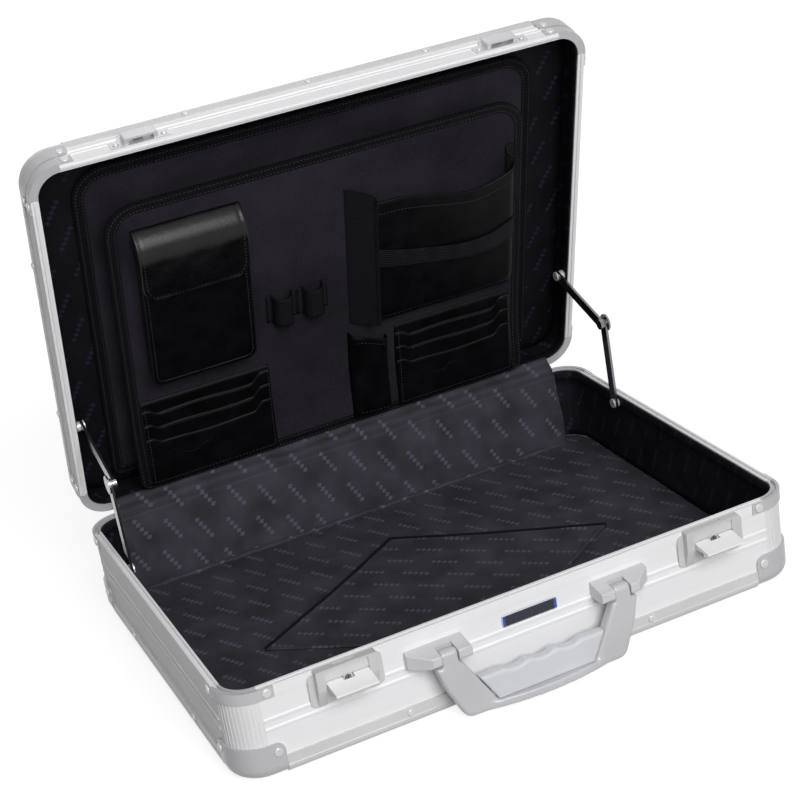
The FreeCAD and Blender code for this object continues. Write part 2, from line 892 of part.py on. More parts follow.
def hinge_leaf(name, half, first, count):
    way = half["way"]
    body = new_body(f"hinge_{name}_leaf")
    clear = f"{hinge_z} + {way} * (knuckle_radius + hinge_back_gap)"
    end = f"{clear} + {way} * hinge_leaf_height"
    plate = sketch_on(body, "YZ_Plane", "plate")
    rectangle(plate, leaf_in, leaf_out, clear, end)
    pad(body, plate, hinge_length, middle=True)
    start = f"{knuckle_pitch} * {first} - {hinge_length} / 2 + knuckle_gap / 2"
    tab = sketch_on(body, "YZ_Plane", "tab", start)
    rectangle(tab, leaf_in, leaf_out, hinge_z, clear)
    tab_pad = pad(body, tab, f"{knuckle_pitch} - knuckle_gap")
    ring = sketch_on(body, "YZ_Plane", "ring", start)
    circle(ring, hinge_y, hinge_z, "knuckle_radius")
    circle(ring, hinge_y, hinge_z, "hinge_pin_radius + fit_clearance")
    ring_pad = pad(body, ring, f"{knuckle_pitch} - knuckle_gap")
    doc.recompute()
    repeat(body, [tab_pad, ring_pad], f"2 * {knuckle_pitch}", count)
    seat(body, at(), half["on_lid"])
    return keep(body)


hinge_leaf("base", halves["base"], 0, "(knuckle_count + 1) / 2")
hinge_leaf("lid", halves["lid"], 1, "(knuckle_count - 1) / 2")

hinge_pin = doc.addObject("Part::Cylinder", "hinge_pin")
bind(hinge_pin, "Radius", "hinge_pin_radius")
bind(hinge_pin, "Height", hinge_length)
along_x = FreeCAD.Rotation(FreeCAD.Vector(0, 1, 0), 90)
hinge_pin.Placement = FreeCAD.Placement(point(f"-{hinge_length} / 2", hinge_y, hinge_z), along_x)
keep(hinge_pin)

# Folding stays: a lower arm from the base and an upper arm from the lid meet at an elbow
stay_wall = "(case_width / 2 - rim_inset)"
lower_layer = f"({stay_wall} - stay_wall_gap - stay_sheet)"
upper_layer = f"({lower_layer} - stay_layer_gap - stay_sheet)"
stay_y = "(case_depth / 2 - stay_pivot_inset)"
base_pivot = point("0", stay_y, "base_height - stay_pivot_drop")
lid_pivot = lid_swing.multVec(point("0", stay_y, f"{lid_rim} + stay_pivot_drop"))
span = lid_pivot - base_pivot
bulge = math.sqrt(number("stay_arm") ** 2 - (span.Length / 2) ** 2)
across = FreeCAD.Vector(0, -span.z, span.y).normalize()
elbow = base_pivot + span * 0.5 + across * bulge


def stay_arm(label, side, pivot, layer, knuckle=False):
    """Flat bar from a pivot to the elbow, round at both ends."""
    body = new_body(label)
    bar = sketch_on(body, "YZ_Plane", "bar")
    rectangle(bar, "0", "stay_arm", "-stay_width / 2", "stay_width / 2")
    pad(body, bar, "stay_sheet")
    for name, y in (("pivot", "0"), ("tip", "stay_arm")):
        eye = sketch_on(body, "YZ_Plane", name)
        circle(eye, y, "0", "stay_width / 2 + fit_clearance")
        pad(body, eye, "stay_sheet")
    if knuckle:
        start = "stay_sheet" if side < 0 else "-stay_head_height"
        head = sketch_on(body, "YZ_Plane", "head", start)
        circle(head, "stay_arm", "0", "stay_width / 2 + fit_clearance")
        pad(body, head, "stay_head_height")
    hole = sketch_on(body, "YZ_Plane", "hole", "-overrun")
    circle(hole, "0", "0", "stay_shank_radius + fit_clearance")
    pocket(body, hole, "stay_sheet + 2 * overrun", backwards=True)
    reach = elbow - pivot
    x = number(layer) if side > 0 else -number(layer) - number("stay_sheet")
    lean = FreeCAD.Rotation(x_axis, math.degrees(math.atan2(reach.z, reach.y)))
    body.Placement = FreeCAD.Placement(FreeCAD.Vector(x, pivot.y, pivot.z), lean)
    return keep(body)


def stay_pivot(name, layer):
    """Shouldered rivet from the rim wall through an arm, along its own Z axis."""
    body = new_body(f"stay_{name}_pivot")
    clear = "slide_clearance / 2"
    arm_face = f"({stay_wall} - {layer} - stay_sheet)"
    steps = {
        "collar": ("stay_head_radius", "0", f"{arm_face} - {clear}"),
        "shank": ("stay_shank_radius", "0", f"{arm_face} + stay_sheet + {clear}"),
        "head": ("stay_head_radius", f"{arm_face} + stay_sheet + {clear}", "stay_head_height"),
    }
    for step, (radius, start, length) in steps.items():
        face = sketch_on(body, "XY_Plane", step, start)
        circle(face, "0", "0", radius)
        pad(body, face, length)
    return body


def inward_from_rim(side, pivot):
    turn = FreeCAD.Rotation(FreeCAD.Vector(0, 1, 0), -90 * side)
    return FreeCAD.Placement(FreeCAD.Vector(side * number(stay_wall), pivot.y, pivot.z), turn)


sides = {"left": -1, "right": 1}
for name, pivot, layer in (("base", base_pivot, lower_layer), ("lid", lid_pivot, upper_layer)):
    places = [inward_from_rim(side, pivot) for side in sides.values()]
    group(f"stay_{name}_pivots", copies(stay_pivot(name, layer), places))

for side_name, side in sides.items():
    stay_arm(f"stay_lower_arm_{side_name}", side, base_pivot, lower_layer)
    stay_arm(f"stay_upper_arm_{side_name}", side, lid_pivot, upper_layer, knuckle=True)
    disc = doc.addObject("Part::Cylinder", f"stay_elbow_{side_name}")
    bind(disc, "Radius", "elbow_radius")
    bind(disc, "Height", "elbow_sheet")
    outer_face = side * number(f"{lower_layer} + stay_sheet")
    turn = FreeCAD.Rotation(FreeCAD.Vector(0, 1, 0), 90 * side)
    disc.Placement = FreeCAD.Placement(FreeCAD.Vector(outer_face, elbow.y, elbow.z), turn)
    keep(disc)

# Flip latch: housing on the front wall, lever, sliding bolt and lock
latch_back = "(rim_proud + latch_plate)"
latch_inside = "(latch_width - 2 * latch_cheek)"
lever_out = "(latch_depth - lever_knuckle)"
lever_in_clear = "(lever_knuckle + slide_clearance)"
boss_radius = "(lock_radius + lock_boss)"
bolt_hole = f"({boss_radius} + slide_clearance)"


latch_across = {"left": "-latch_left_x", "right": "latch_right_x"}


def latch_place(side_name):
    return at(latch_across[side_name], "-case_depth / 2", "base_height")


def latch_housing(side_name):
    """Hood of two tapering cheeks and a recessed front under a flat top, on a wider base plate."""
    body = new_body(f"latch_housing_{side_name}")
    plate = sketch_on(body, "XZ_Plane", "plate", "rim_proud")
    rounded_rectangle(
        plate,
        "-latch_width / 2 - latch_plate_side",
        "latch_width / 2 + latch_plate_side",
        "-latch_height",
        "-latch_plate_drop",
        "latch_plate_round",
    )
    pad(body, plate, "latch_plate")
    crown = sketch_on(body, "XZ_Plane", "crown", "rim_proud")
    rectangle(crown, "-latch_width / 2", "latch_width / 2", "-latch_height / 2", "0")
    pad(body, crown, "latch_plate")
    bend = "-(lever_drop + 2 * lever_knuckle)"
    for name, start in (("first", "-latch_width / 2"), ("second", f"{latch_inside} / 2")):
        cheek = sketch_on(body, "YZ_Plane", f"{name}_cheek", start)
        outline(cheek, [
            ("-rim_proud", "0"),
            ("-latch_depth", "0"),
            ("-latch_depth", bend),
            ("-latch_foot_depth", "-latch_height"),
            ("-rim_proud", "-latch_height"),
        ])
        pad(body, cheek, "latch_cheek")
        side_middle = f"({start} + latch_cheek / 2)"
        soften(body, "latch_bend", edge_at(x=side_middle, y="-latch_depth", z=bend))
    cover = sketch_on(body, "YZ_Plane", "cover")
    edge = f"-(lever_drop - {lever_in_clear})"
    face = "(latch_depth - latch_recess)"
    outline(cover, [
        ("-rim_proud", "0"),
        ("-latch_depth", "0"),
        ("-latch_depth", "-latch_cover"),
        (f"-{face}", "-latch_cover"),
        (f"-{face}", edge),
        (f"-{face} + latch_cover", edge),
        (f"-{face} + latch_cover", "-latch_cover"),
        ("-rim_proud", "-latch_cover"),
    ])
    pad(body, cover, f"{latch_inside} + latch_cheek", middle=True)
    boss = sketch_on(body, "XZ_Plane", "boss", "rim_proud")
    circle(boss, "0", "-lever_drop", boss_radius)
    pad(body, boss, "latch_depth - lock_face - rim_proud")
    bore = sketch_on(body, "XZ_Plane", "bore", latch_back)
    circle(bore, "0", "-lever_drop", "lock_radius + fit_clearance")
    pocket(body, bore, "latch_depth + overrun", backwards=True)
    slot = sketch_on(body, "XY_Plane", "slot", "-latch_cover - overrun")
    rectangle(
        slot,
        "-bolt_width / 2 - slide_clearance",
        "bolt_width / 2 + slide_clearance",
        "-bolt_out - bolt_sheet - slide_clearance",
        "-bolt_out + slide_clearance",
    )
    pocket(body, slot, "latch_cover + 2 * overrun", backwards=True)
    half_bore = f"({latch_inside} / 2 + lever_pin_length + slide_clearance)"
    holes = sketch_on(body, "YZ_Plane", "holes")
    circle(holes, f"-{lever_out}", "-lever_drop", "lever_pin_radius + fit_clearance")
    pocket(body, holes, f"2 * {half_bore}", middle=True)
    seat(body, latch_place(side_name))
    return keep(body)


def latch_lever(side_name):
    """Flip lever with tapering side walls, standing out a little below the level, notched round the lock."""
    body = new_body(f"latch_lever_{side_name}")
    width = f"({latch_inside} - 2 * slide_clearance)"
    barrel = sketch_on(body, "YZ_Plane", "barrel")
    circle(barrel, f"-{lever_out}", "-lever_drop", "lever_knuckle")
    pad(body, barrel, width, middle=True)
    plate = sketch_on(body, "YZ_Plane", "plate")
    top = "(lever_knuckle - lever_drop)"
    outline(plate, [
        (f"-{lever_out}", top),
        (f"-{lever_out} - lever_length", f"{top} - lever_droop"),
        (f"-{lever_out} - lever_length", f"{top} - lever_droop - lever_sheet"),
        (f"-{lever_out}", f"{top} - lever_sheet"),
    ])
    pad(body, plate, width, middle=True)
    under = f"({top} - lever_sheet)"
    side_starts = {"first": f"-{width} / 2", "second": f"{width} / 2 - lever_side_sheet"}
    for name, start in side_starts.items():
        side = sketch_on(body, "YZ_Plane", f"{name}_side", start)
        outline(side, [
            (f"-{lever_out}", under),
            (f"-{lever_out} - lever_length", f"{under} - lever_droop"),
            (f"-{lever_out}", f"{under} - lever_side_depth"),
        ])
        pad(body, side, "lever_side_sheet")
    pin = sketch_on(body, "YZ_Plane", "pin")
    circle(pin, f"-{lever_out}", "-lever_drop", "lever_pin_radius")
    pad(body, pin, f"{latch_inside} + 2 * lever_pin_length", middle=True)
    notch = sketch_on(body, "XY_Plane", "notch", "-lever_drop - lever_knuckle - overrun")
    rectangle(
        notch,
        f"-{bolt_hole}",
        bolt_hole,
        f"-{lever_out} - {bolt_hole}",
        f"-{lever_out} + lever_knuckle + overrun",
    )
    pocket(body, notch, "2 * lever_knuckle + 2 * overrun", backwards=True)
    seat(body, latch_place(side_name))
    return keep(body)


def latch_bolt(side_name):
    """Sliding bolt with a window round the lock boss."""
    body = new_body(f"latch_bolt_{side_name}")
    face = sketch_on(body, "XZ_Plane", "face", "bolt_out")
    high = f"(-lever_drop + {bolt_hole})"
    low = f"(-lever_drop - {bolt_hole} - bolt_travel)"
    rectangle(face, "-bolt_width / 2", "bolt_width / 2", f"{low} - bolt_rail", "-latch_cover / 2")
    rectangle(face, f"-{bolt_hole}", bolt_hole, low, high)
    pad(body, face, "bolt_sheet")
    seat(body, latch_place(side_name))
    return keep(body)


def lock_cylinder(side_name):
    body = new_body(f"lock_cylinder_{side_name}")
    face = sketch_on(body, "XZ_Plane", "face", f"{latch_back} + fit_clearance")
    circle(face, "0", "-lever_drop", "lock_radius")
    pad(body, face, f"latch_depth - {latch_back} - fit_clearance")
    key = sketch_on(body, "XZ_Plane", "key", "latch_depth - key_slot_depth")
    rectangle(
        key,
        "-key_slot_width / 2",
        "key_slot_width / 2",
        "-lever_drop - key_slot_length / 2",
        "-lever_drop + key_slot_length / 2",
    )
    pocket(body, key, "key_slot_depth + overrun", backwards=True)
    seat(body, latch_place(side_name))
    return keep(body)


def keeper(side_name):
    """Riveted catch plate on the lid with the loop that takes the bolt."""
    body = new_body(f"keeper_{side_name}")
    plate = sketch_on(body, "XZ_Plane", "plate", "rim_proud")
    outline(plate, [
        ("-keeper_width / 2", "rim_gap"),
        ("keeper_width / 2", "rim_gap"),
        ("keeper_width / 2", "keeper_ear_height"),
        ("keeper_head_width / 2", "keeper_ear_height"),
        ("keeper_bridge_width / 2", "keeper_height"),
        ("-keeper_bridge_width / 2", "keeper_height"),
        ("-keeper_head_width / 2", "keeper_ear_height"),
        ("-keeper_width / 2", "keeper_ear_height"),
    ])
    pad(body, plate, "keeper_plate")
    bridge = sketch_on(body, "XY_Plane", "bridge", "2 * rim_gap")
    wide, narrow = "keeper_bridge_width / 2", "(keeper_bridge_width / 2 - 2 * keeper_bar)"
    back, inside = "-rim_proud - keeper_plate / 2", "-keeper_bridge_depth + keeper_bar"
    outline(bridge, [
        (f"-{wide}", back),
        (f"-{wide}", "-keeper_bridge_depth"),
        (wide, "-keeper_bridge_depth"),
        (wide, back),
        (narrow, back),
        (narrow, inside),
        (f"-{narrow}", inside),
        (f"-{narrow}", back),
    ])
    pad(body, bridge, "keeper_bridge_height")
    bridge_middle = "2 * rim_gap + keeper_bridge_height / 2"
    for edge_x in (wide, f"-{wide}"):
        soften(body, "keeper_bridge_round", edge_at(x=edge_x, y="-keeper_bridge_depth", z=bridge_middle))
    in_plate = "rim_proud + keeper_plate / 2"
    tab = sketch_on(body, "XZ_Plane", "tab", in_plate)
    tab_half = "keeper_tab_width / 2"
    tab_foot = "2 * rim_gap + keeper_bridge_height - keeper_bar"
    rectangle(tab, f"-{tab_half}", tab_half, tab_foot, "keeper_height - keeper_tab_drop")
    pad(body, tab, "keeper_plate / 2 + keeper_tab_proud")
    heads = sketch_on(body, "XZ_Plane", "rivets", in_plate)
    head_x = "(keeper_width / 2 - keeper_rivet_inset)"
    head_z = "(rim_gap + keeper_ear_height) / 2"
    circle(heads, head_x, head_z, "keeper_rivet_radius")
    circle(heads, f"-{head_x}", head_z, "keeper_rivet_radius")
    pad(body, heads, "keeper_plate / 2 + keeper_rivet_height")
    head_top = "-(rim_proud + keeper_plate + keeper_rivet_height)"
    for edge_x in (head_x, f"-{head_x}"):
        soften(body, "keeper_rivet_height * rivet_round_share", edge_at(x=edge_x, y=head_top, z=head_z))
    seat(body, at(latch_across[side_name], "-case_depth / 2", lid_rim), True)
    return keep(body)


for side_name in sides:
    latch_housing(side_name)
    latch_lever(side_name)
    latch_bolt(side_name)
    lock_cylinder(side_name)
    keeper(side_name)

# Carrying handle: two brackets, a swinging bail and its finger grip
slot_half = "(arm_width / 2 + arm_clearance)"
over_rib = "(base_height - base_rib_drop + rib_width / 2 + lining_gap - handle_pivot_z)"


def handle_bracket(side_name, side):
    """Wedge on the wall: square at its inner end, a tapered nose outwards, a slot for the arm."""
    body = new_body(f"{side_name}_bracket")
    ends = [f"{side} * (handle_x - bracket_inner)", f"{side} * (handle_x + bracket_outer)"]
    start = ends[0] if side > 0 else ends[1]
    section = sketch_on(body, "YZ_Plane", "section", start)
    outline(section, [
        ("-rim_proud", "-bracket_foot"),
        ("-rim_proud", over_rib),
        ("0", over_rib),
        ("0", "bracket_crown"),
        ("-bracket_depth", "bracket_brow"),
        ("-bracket_depth", "-bracket_lip"),
    ])
    pad(body, section, "bracket_inner + bracket_outer")
    soften(body, "bracket_round", edge_at(y="-bracket_depth", z="-bracket_lip"))
    corner = sketch_on(body, "XY_Plane", "corner", "-bracket_foot - overrun")
    outline(corner, [
        (f"{side} * (handle_x + bracket_outer + overrun)", "-bracket_nose_out"),
        (f"{side} * (handle_x + bracket_outer)", "-bracket_nose_out"),
        (f"{side} * (handle_x + bracket_nose)", "-bracket_depth"),
        (f"{side} * (handle_x + bracket_nose)", "-bracket_depth - overrun"),
        (f"{side} * (handle_x + bracket_outer + overrun)", "-bracket_depth - overrun"),
    ])
    pocket(body, corner, "bracket_foot + bracket_crown + 2 * overrun", backwards=True)

    def top_edge(edge):
        spots = [vertex.Point for vertex in edge.Vertexes]
        return len(spots) == 2 and all(spot.z > number("bracket_brow - overrun") for spot in spots) and any(
            spot.y < -number("slide_clearance") for spot in spots
        )

    soften(body, "bracket_edge", top_edge)
    slot = sketch_on(body, "XY_Plane", "slot", "-bracket_foot - overrun")
    rectangle(
        slot,
        f"{side} * handle_x - {slot_half}",
        f"{side} * handle_x + {slot_half}",
        "-bracket_depth - overrun",
        "-(handle_pivot_out - handle_thickness / 2 - slot_gap)",
    )
    pocket(body, slot, "bracket_foot + bracket_crown + 2 * overrun", backwards=True)
    holes = sketch_on(body, "YZ_Plane", "holes", f"{side} * handle_x")
    circle(holes, "-handle_pivot_out", "0", "trunnion_radius + fit_clearance")
    pocket(body, holes, f"2 * ({slot_half} + trunnion_length + slide_clearance)", middle=True)
    return body


bracket_place = [at("0", "-case_depth / 2", "handle_pivot_z")]
brackets = []
for side_name, side in sides.items():
    brackets += copies(handle_bracket(side_name, side), bracket_place)
group("handle_brackets", brackets)

hang = FreeCAD.Placement(
    point("0", "-case_depth / 2 - handle_pivot_out", "handle_pivot_z"),
    FreeCAD.Rotation(x_axis, -number("handle_tilt")),
)
arm_outer = "(handle_x + arm_width / 2)"
arm_inner = "(handle_x - arm_width / 2)"
bar_top = "(handle_bar - handle_length)"
bail_inner = "(grip_foot_half_width + slide_clearance)"
throat = "(handle_x - arm_width / 2 - shoulder_inner)"
# Run of the arm's inner edge for each unit of height over the bar
throat_slope = f"(({throat} - {bail_inner}) / (handle_length - handle_bar - arm_neck))"


def handle_bail():
    """U-shaped bail hanging in its own XZ plane from the pivot line."""
    body = new_body("handle_bail")
    face = sketch_on(body, "XZ_Plane", "face")
    half_outline = [
        ("handle_half_width", "-handle_length"),
        ("arm_bend_x", "-arm_bend_drop"),
        (f"({arm_outer} + shoulder_outer)", "-arm_neck"),
        (arm_outer, "-arm_neck"),
        (arm_outer, "arm_head"),
        (arm_inner, "arm_head"),
        (arm_inner, "-arm_neck"),
        (throat, "-arm_neck"),
        (bail_inner, bar_top),
    ]
    outline(face, half_outline + [(f"-{x}", z) for x, z in reversed(half_outline)])
    pad(body, face, "handle_thickness", middle=True)
    for way in ("", "-"):
        soften(body, "arm_bend_round", edge_at(x=f"{way}arm_bend_x", z="-arm_bend_drop"))
        soften(body, "handle_corner", edge_at(x=f"{way}handle_half_width", z="-handle_length"))
        for y in ("handle_thickness / 2", "-handle_thickness / 2"):
            soften(body, "head_round", edge_at(x=f"{way}handle_x", y=y, z="arm_head"))
    def long_rim(edge):
        below = edge.BoundBox.ZMax < number("-arm_neck") + 1e-6
        return below and any(
            close_to(edge.BoundBox.YMin, y) and close_to(edge.BoundBox.YMax, y)
            for y in ("handle_thickness / 2", "-handle_thickness / 2")
        )

    soften(body, "handle_edge", long_rim)
    belly = sketch_on(body, "XY_Plane", "belly", "-handle_length")
    side_x = "(handle_half_width - handle_corner)"
    face_y = "-(handle_thickness / 2 - handle_edge)"
    spots = [point(f"-{side_x}"), point(f"-{side_x}", face_y), point(side_x, face_y), point(side_x)]
    swell = point("0", "-handle_thickness / 2 - handle_belly")
    belly.addGeometry(Part.LineSegment(spots[0], spots[1]), False)
    belly.addGeometry(Part.Arc(spots[1], swell, spots[2]), False)
    belly.addGeometry(Part.LineSegment(spots[2], spots[3]), False)
    belly.addGeometry(Part.LineSegment(spots[3], spots[0]), False)
    pad(body, belly, "handle_bar")
    for name, start in (("left", f"-{arm_outer}"), ("right", arm_inner)):
        pin = sketch_on(body, "YZ_Plane", f"{name}_pin", f"{start} - arm_clearance - trunnion_length")
        circle(pin, "0", "0", "trunnion_radius")
        pad(body, pin, "arm_width + 2 * (arm_clearance + trunnion_length)")
    seat(body, hang)
    return keep(body)


def handle_grip():
    """Moulded insert between the arms, standing on the bar, with finger hollows along its top."""
    body = new_body("handle_grip")
    face = sketch_on(body, "XZ_Plane", "face")
    top = f"({bar_top} + grip_height)"
    crown_half = f"(grip_foot_half_width + {throat_slope} * grip_height)"
    outline(face, [
        ("-grip_foot_half_width", bar_top),
        ("grip_foot_half_width", bar_top),
        (crown_half, top),
        (f"-{crown_half}", top),
    ])
    pad(body, face, "handle_thickness", middle=True)
    finger = sketch_on(body, "XZ_Plane", "finger")
    first = "-finger_pitch * (finger_count - 1) / 2"
    circle(finger, first, f"{top} + finger_radius - finger_depth", "finger_radius")
    cut = pocket(body, finger, "handle_thickness + 2 * overrun", middle=True)
    repeat(body, [cut], "finger_pitch", "finger_count")
    low = number(f"{top} - finger_depth - grip_edge")

    def hand_edge(edge):
        flat = edge.BoundBox.YLength < number("fit_clearance")
        return flat and edge.BoundBox.ZMin > low

    soften(body, "grip_edge", hand_edge)
    seat(body, hang)
    return keep(body)


handle_bail()
handle_grip()

# Lid organizer, measured from the lid's rim, with Y to the hinge
lid_ceiling = "(lid_height - trim_sheet - panel_sheet - lining_sheet)"
back_panel_face = f"({lid_ceiling} - organizer_seat - organizer_sheet)"
front_panel_back = f"({back_panel_face} - organizer_gap)"
front_face = f"({front_panel_back} - organizer_sheet)"
lid_place = at("0", "0", lid_rim)
back_half = "(case_width / 2 - organizer_side_inset)"
front_half = f"({back_half} - organizer_step_in)"
organizer_foot = "(case_depth / 2 - organizer_foot_inset)"
back_head = "(case_depth / 2 - organizer_head_inset)"
front_head = f"({back_head} - organizer_step_down)"


def organizer_panel(label, half_width, head, level):
    body = new_body(label)
    face = sketch_on(body, "XY_Plane", "face", level)
    rectangle(face, f"-{half_width}", half_width, f"-{head}", organizer_foot)
    pad(body, face, "organizer_sheet")
    for x in (half_width, f"-{half_width}"):
        soften(body, "organizer_corner", edge_at(x=x, y=f"-{head}"))
        soften(body, "organizer_foot_corner", edge_at(x=x, y=organizer_foot))
    seat(body, lid_place, True)
    return keep(body)


organizer_panel("organizer_back_panel", back_half, back_head, back_panel_face)
organizer_panel("organizer_front_panel", front_half, front_head, front_face)


def organizer_gussets():
    """Bellows sides of the sleeve and the web that closes its bottom."""
    shapes = []
    far = f"({organizer_foot} - organizer_foot_corner)"
    for name, start in (
        ("left", f"-{front_half} + gusset_inset"),
        ("right", f"{front_half} - gusset_inset - gusset_sheet"),
    ):
        body = new_body(f"{name}_gusset")
        section = sketch_on(body, "YZ_Plane", "section", start)
        outline(section, [
            (far, front_panel_back),
            (far, back_panel_face),
            (f"{far} - gusset_width", back_panel_face),
            (f"{far} - gusset_width + organizer_gap", front_panel_back),
        ])
        pad(body, section, "gusset_sheet")
        shapes += copies(body, [lid_place], True)
    web = new_body("bottom_gusset")
    section = sketch_on(web, "YZ_Plane", "section")
    rectangle(section, f"{organizer_foot} - gusset_sheet", organizer_foot, front_panel_back, back_panel_face)
    pad(web, section, f"2 * ({front_half} - organizer_foot_corner)", middle=True)
    shapes += copies(web, [lid_place], True)
    return group("organizer_gussets", shapes)


organizer_gussets()


# Pockets laid out from the front panel's edges, each beside the next
card_foot = f"({organizer_foot} - card_rise)"
card_top = f"({card_foot} - card_height)"
phone_left = f"(phone_inset - {front_half})"
phone_right = f"({phone_left} + phone_width)"
phone_top = f"(phone_drop - {front_head})"
phone_foot = f"({card_top} - phone_rise)"
loop_left = f"({phone_right} + loop_gap)"
loop_right = f"({loop_left} + loop_pitch + loop_width)"
media_left = f"({loop_right} + media_gap)"
media_right = f"({front_half} - media_inset)"
media_top = f"(media_drop - {front_head})"
small_right = f"({media_left} + small_width)"
small_top = f"({card_foot} - small_height)"
media_foot = f"({small_top} - media_rise)"
card_near = f"({small_right} + card_gap)"
card_far = f"({front_half} - card_inset)"


def pouch(label, left, right, top, foot, depth):
    """Stitched pocket on the front panel, open towards the lid's front edge."""
    body = new_body(label)
    block = sketch_on(body, "XY_Plane", "block", f"{front_face} - {depth}")
    rectangle(block, left, right, top, foot)
    pad(body, block, depth)
    inside = sketch_on(body, "XY_Plane", "inside", f"{front_face} - {depth} + pocket_sheet")
    rectangle(
        inside,
        f"{left} + pocket_sheet",
        f"{right} - pocket_sheet",
        f"{top} - overrun",
        f"{foot} - pocket_sheet",
    )
    pocket(body, inside, f"{depth} - 2 * pocket_sheet", backwards=True)
    for x in (left, right):
        soften(body, "pocket_edge", edge_at(x=x, z=f"{front_face} - {depth}"))
    seat(body, lid_place, True)
    return keep(body)


pouch("phone_pocket", phone_left, phone_right, phone_top, phone_foot, "phone_depth")
pouch("media_pocket", media_left, media_right, media_top, media_foot, "media_depth")
pouch("small_pocket", media_left, small_right, small_top, card_foot, "small_depth")


def phone_flap():
    """Leather flap over the mouth and the upper front of the phone pocket."""
    body = new_body("phone_flap")
    outer = f"({front_face} - phone_depth - lining_gap - flap_sheet)"
    mouth = f"({phone_top} - lining_gap)"
    root = f"({front_face} - lining_gap - flap_sheet / 2)"
    section = sketch_on(body, "YZ_Plane", "section", phone_left)
    outline(section, [
        (f"{mouth} - flap_sheet", root),
        (f"{mouth} - flap_sheet", outer),
        (f"{phone_top} + flap_drop", outer),
        (f"{phone_top} + flap_drop", f"{outer} + flap_sheet"),
        (mouth, f"{outer} + flap_sheet"),
        (mouth, root),
    ])
    pad(body, section, "phone_width")
    bead = sketch_on(body, "YZ_Plane", "bead", phone_left)
    circle(bead, f"{mouth} - flap_sheet / 2", root, "flap_sheet / 2")
    pad(body, bead, "phone_width")
    seat(body, lid_place, True)
    return keep(body)


phone_flap()


def card_pocket(label, left, right):
    """Three stepped card slots on a backing."""
    body = new_body(label)
    for step in range(int(number("card_steps")) + 1):
        layer = sketch_on(body, "XY_Plane", f"layer_{step}", f"{front_face} - {step + 1} * card_sheet")
        rectangle(layer, left, right, f"{card_top} + {step} * card_step_height", card_foot)
        pad(body, layer, "card_sheet")
    seat(body, lid_place, True)
    return keep(body)


card_pocket("card_pocket_left", f"-{card_far}", f"-{card_near}")
card_pocket("card_pocket_right", card_near, card_far)


def elastic_loops():
    """Two pen loops and the strap across the media pocket, all of elastic webbing."""
    shapes = []
    for index in range(2):
        body = new_body(f"pen_loop_{index}")
        near = f"({loop_left} + {index} * loop_pitch)"
        far = f"({near} + loop_width)"
        low = f"({front_face} - loop_height)"
        arch = sketch_on(body, "XZ_Plane", "arch", f"loop_rise - {phone_foot}")
        legs = [(near, f"{near} + loop_sheet"), (far, f"{far} - loop_sheet")]
        outline(arch, [
            (legs[0][0], front_face),
            (legs[0][0], low),
            (legs[1][0], low),
            (legs[1][0], front_face),
            (legs[1][1], front_face),
            (legs[1][1], f"{low} + loop_sheet"),
            (legs[0][1], f"{low} + loop_sheet"),
            (legs[0][1], front_face),
        ])
        pad(body, arch, "loop_length")
        for outer, inner in legs:
            soften(body, "loop_round", edge_at(x=outer, z=low))
            soften(body, "loop_round - loop_sheet", edge_at(x=inner, z=f"{low} + loop_sheet"))
        shapes += copies(body, [lid_place], True)
    strap = new_body("media_strap")
    face = sketch_on(strap, "XY_Plane", "face", f"{front_face} - media_depth - strap_sheet")
    middle = f"({media_top} + {media_foot}) / 2"
    rectangle(
        face,
        f"{media_left} + strap_inset",
        f"{media_right} - strap_inset",
        f"{middle} - strap_width / 2",
        f"{middle} + strap_width / 2",
    )
    pad(strap, face, "strap_sheet")
    shapes += copies(strap, [lid_place], True)
    return group("elastic_loops", shapes)


elastic_loops()

doc.recompute()
for item in doc.Objects:
    if "Invalid" in item.State or "Error" in item.State:
        raise RuntimeError(f"{item.Label} failed")
os.makedirs("parts", exist_ok=True)
for node in nodes:
    shape = node.Shape
    if shape.isNull() or not shape.isValid():
        raise RuntimeError(f"{node.Label} has no sound shape")
    shape.exportStep(f"parts/{node.Label}.step")
    print(node.Label, len(shape.Solids), round(shape.Volume, 1), shape.BoundBox)
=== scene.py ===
import math
import bpy
from mathutils import Matrix, Vector


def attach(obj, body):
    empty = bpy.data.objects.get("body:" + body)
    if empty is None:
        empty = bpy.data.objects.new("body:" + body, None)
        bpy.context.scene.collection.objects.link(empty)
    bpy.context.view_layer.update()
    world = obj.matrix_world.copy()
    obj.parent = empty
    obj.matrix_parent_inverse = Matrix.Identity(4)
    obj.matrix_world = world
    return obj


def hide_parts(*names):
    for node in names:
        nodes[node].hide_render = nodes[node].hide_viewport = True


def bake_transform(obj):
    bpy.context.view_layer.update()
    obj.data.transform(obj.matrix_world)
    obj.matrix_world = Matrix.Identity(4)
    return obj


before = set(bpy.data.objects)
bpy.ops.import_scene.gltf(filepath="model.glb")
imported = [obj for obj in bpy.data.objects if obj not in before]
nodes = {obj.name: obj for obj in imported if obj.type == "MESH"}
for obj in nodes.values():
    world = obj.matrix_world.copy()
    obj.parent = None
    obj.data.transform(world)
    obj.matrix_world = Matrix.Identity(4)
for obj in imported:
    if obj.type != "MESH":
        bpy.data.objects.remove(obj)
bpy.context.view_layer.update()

mm = 0.001
scene = bpy.context.scene


# node building
shaderWords = {"colour": "Base Color", "metallic": "Metallic", "roughness": "Roughness",
               "gloss": "Specular IOR Level", "sheen": "Sheen Weight"}
cutInMm = (1000, 1000, 1)       # cloth is laid out flat in millimetres
noiseReach = (0.3, 0.7)         # where most of a noise's values lie


def newFinish(name):
    finish = bpy.data.materials.new(name)
    finish.use_nodes = True
    tree = finish.node_tree
    return finish, tree, tree.nodes["Principled BSDF"]


def put(tree, value, socket):
    if isinstance(value, bpy.types.NodeSocket):
        tree.links.new(value, socket)
    else:
        socket.default_value = value


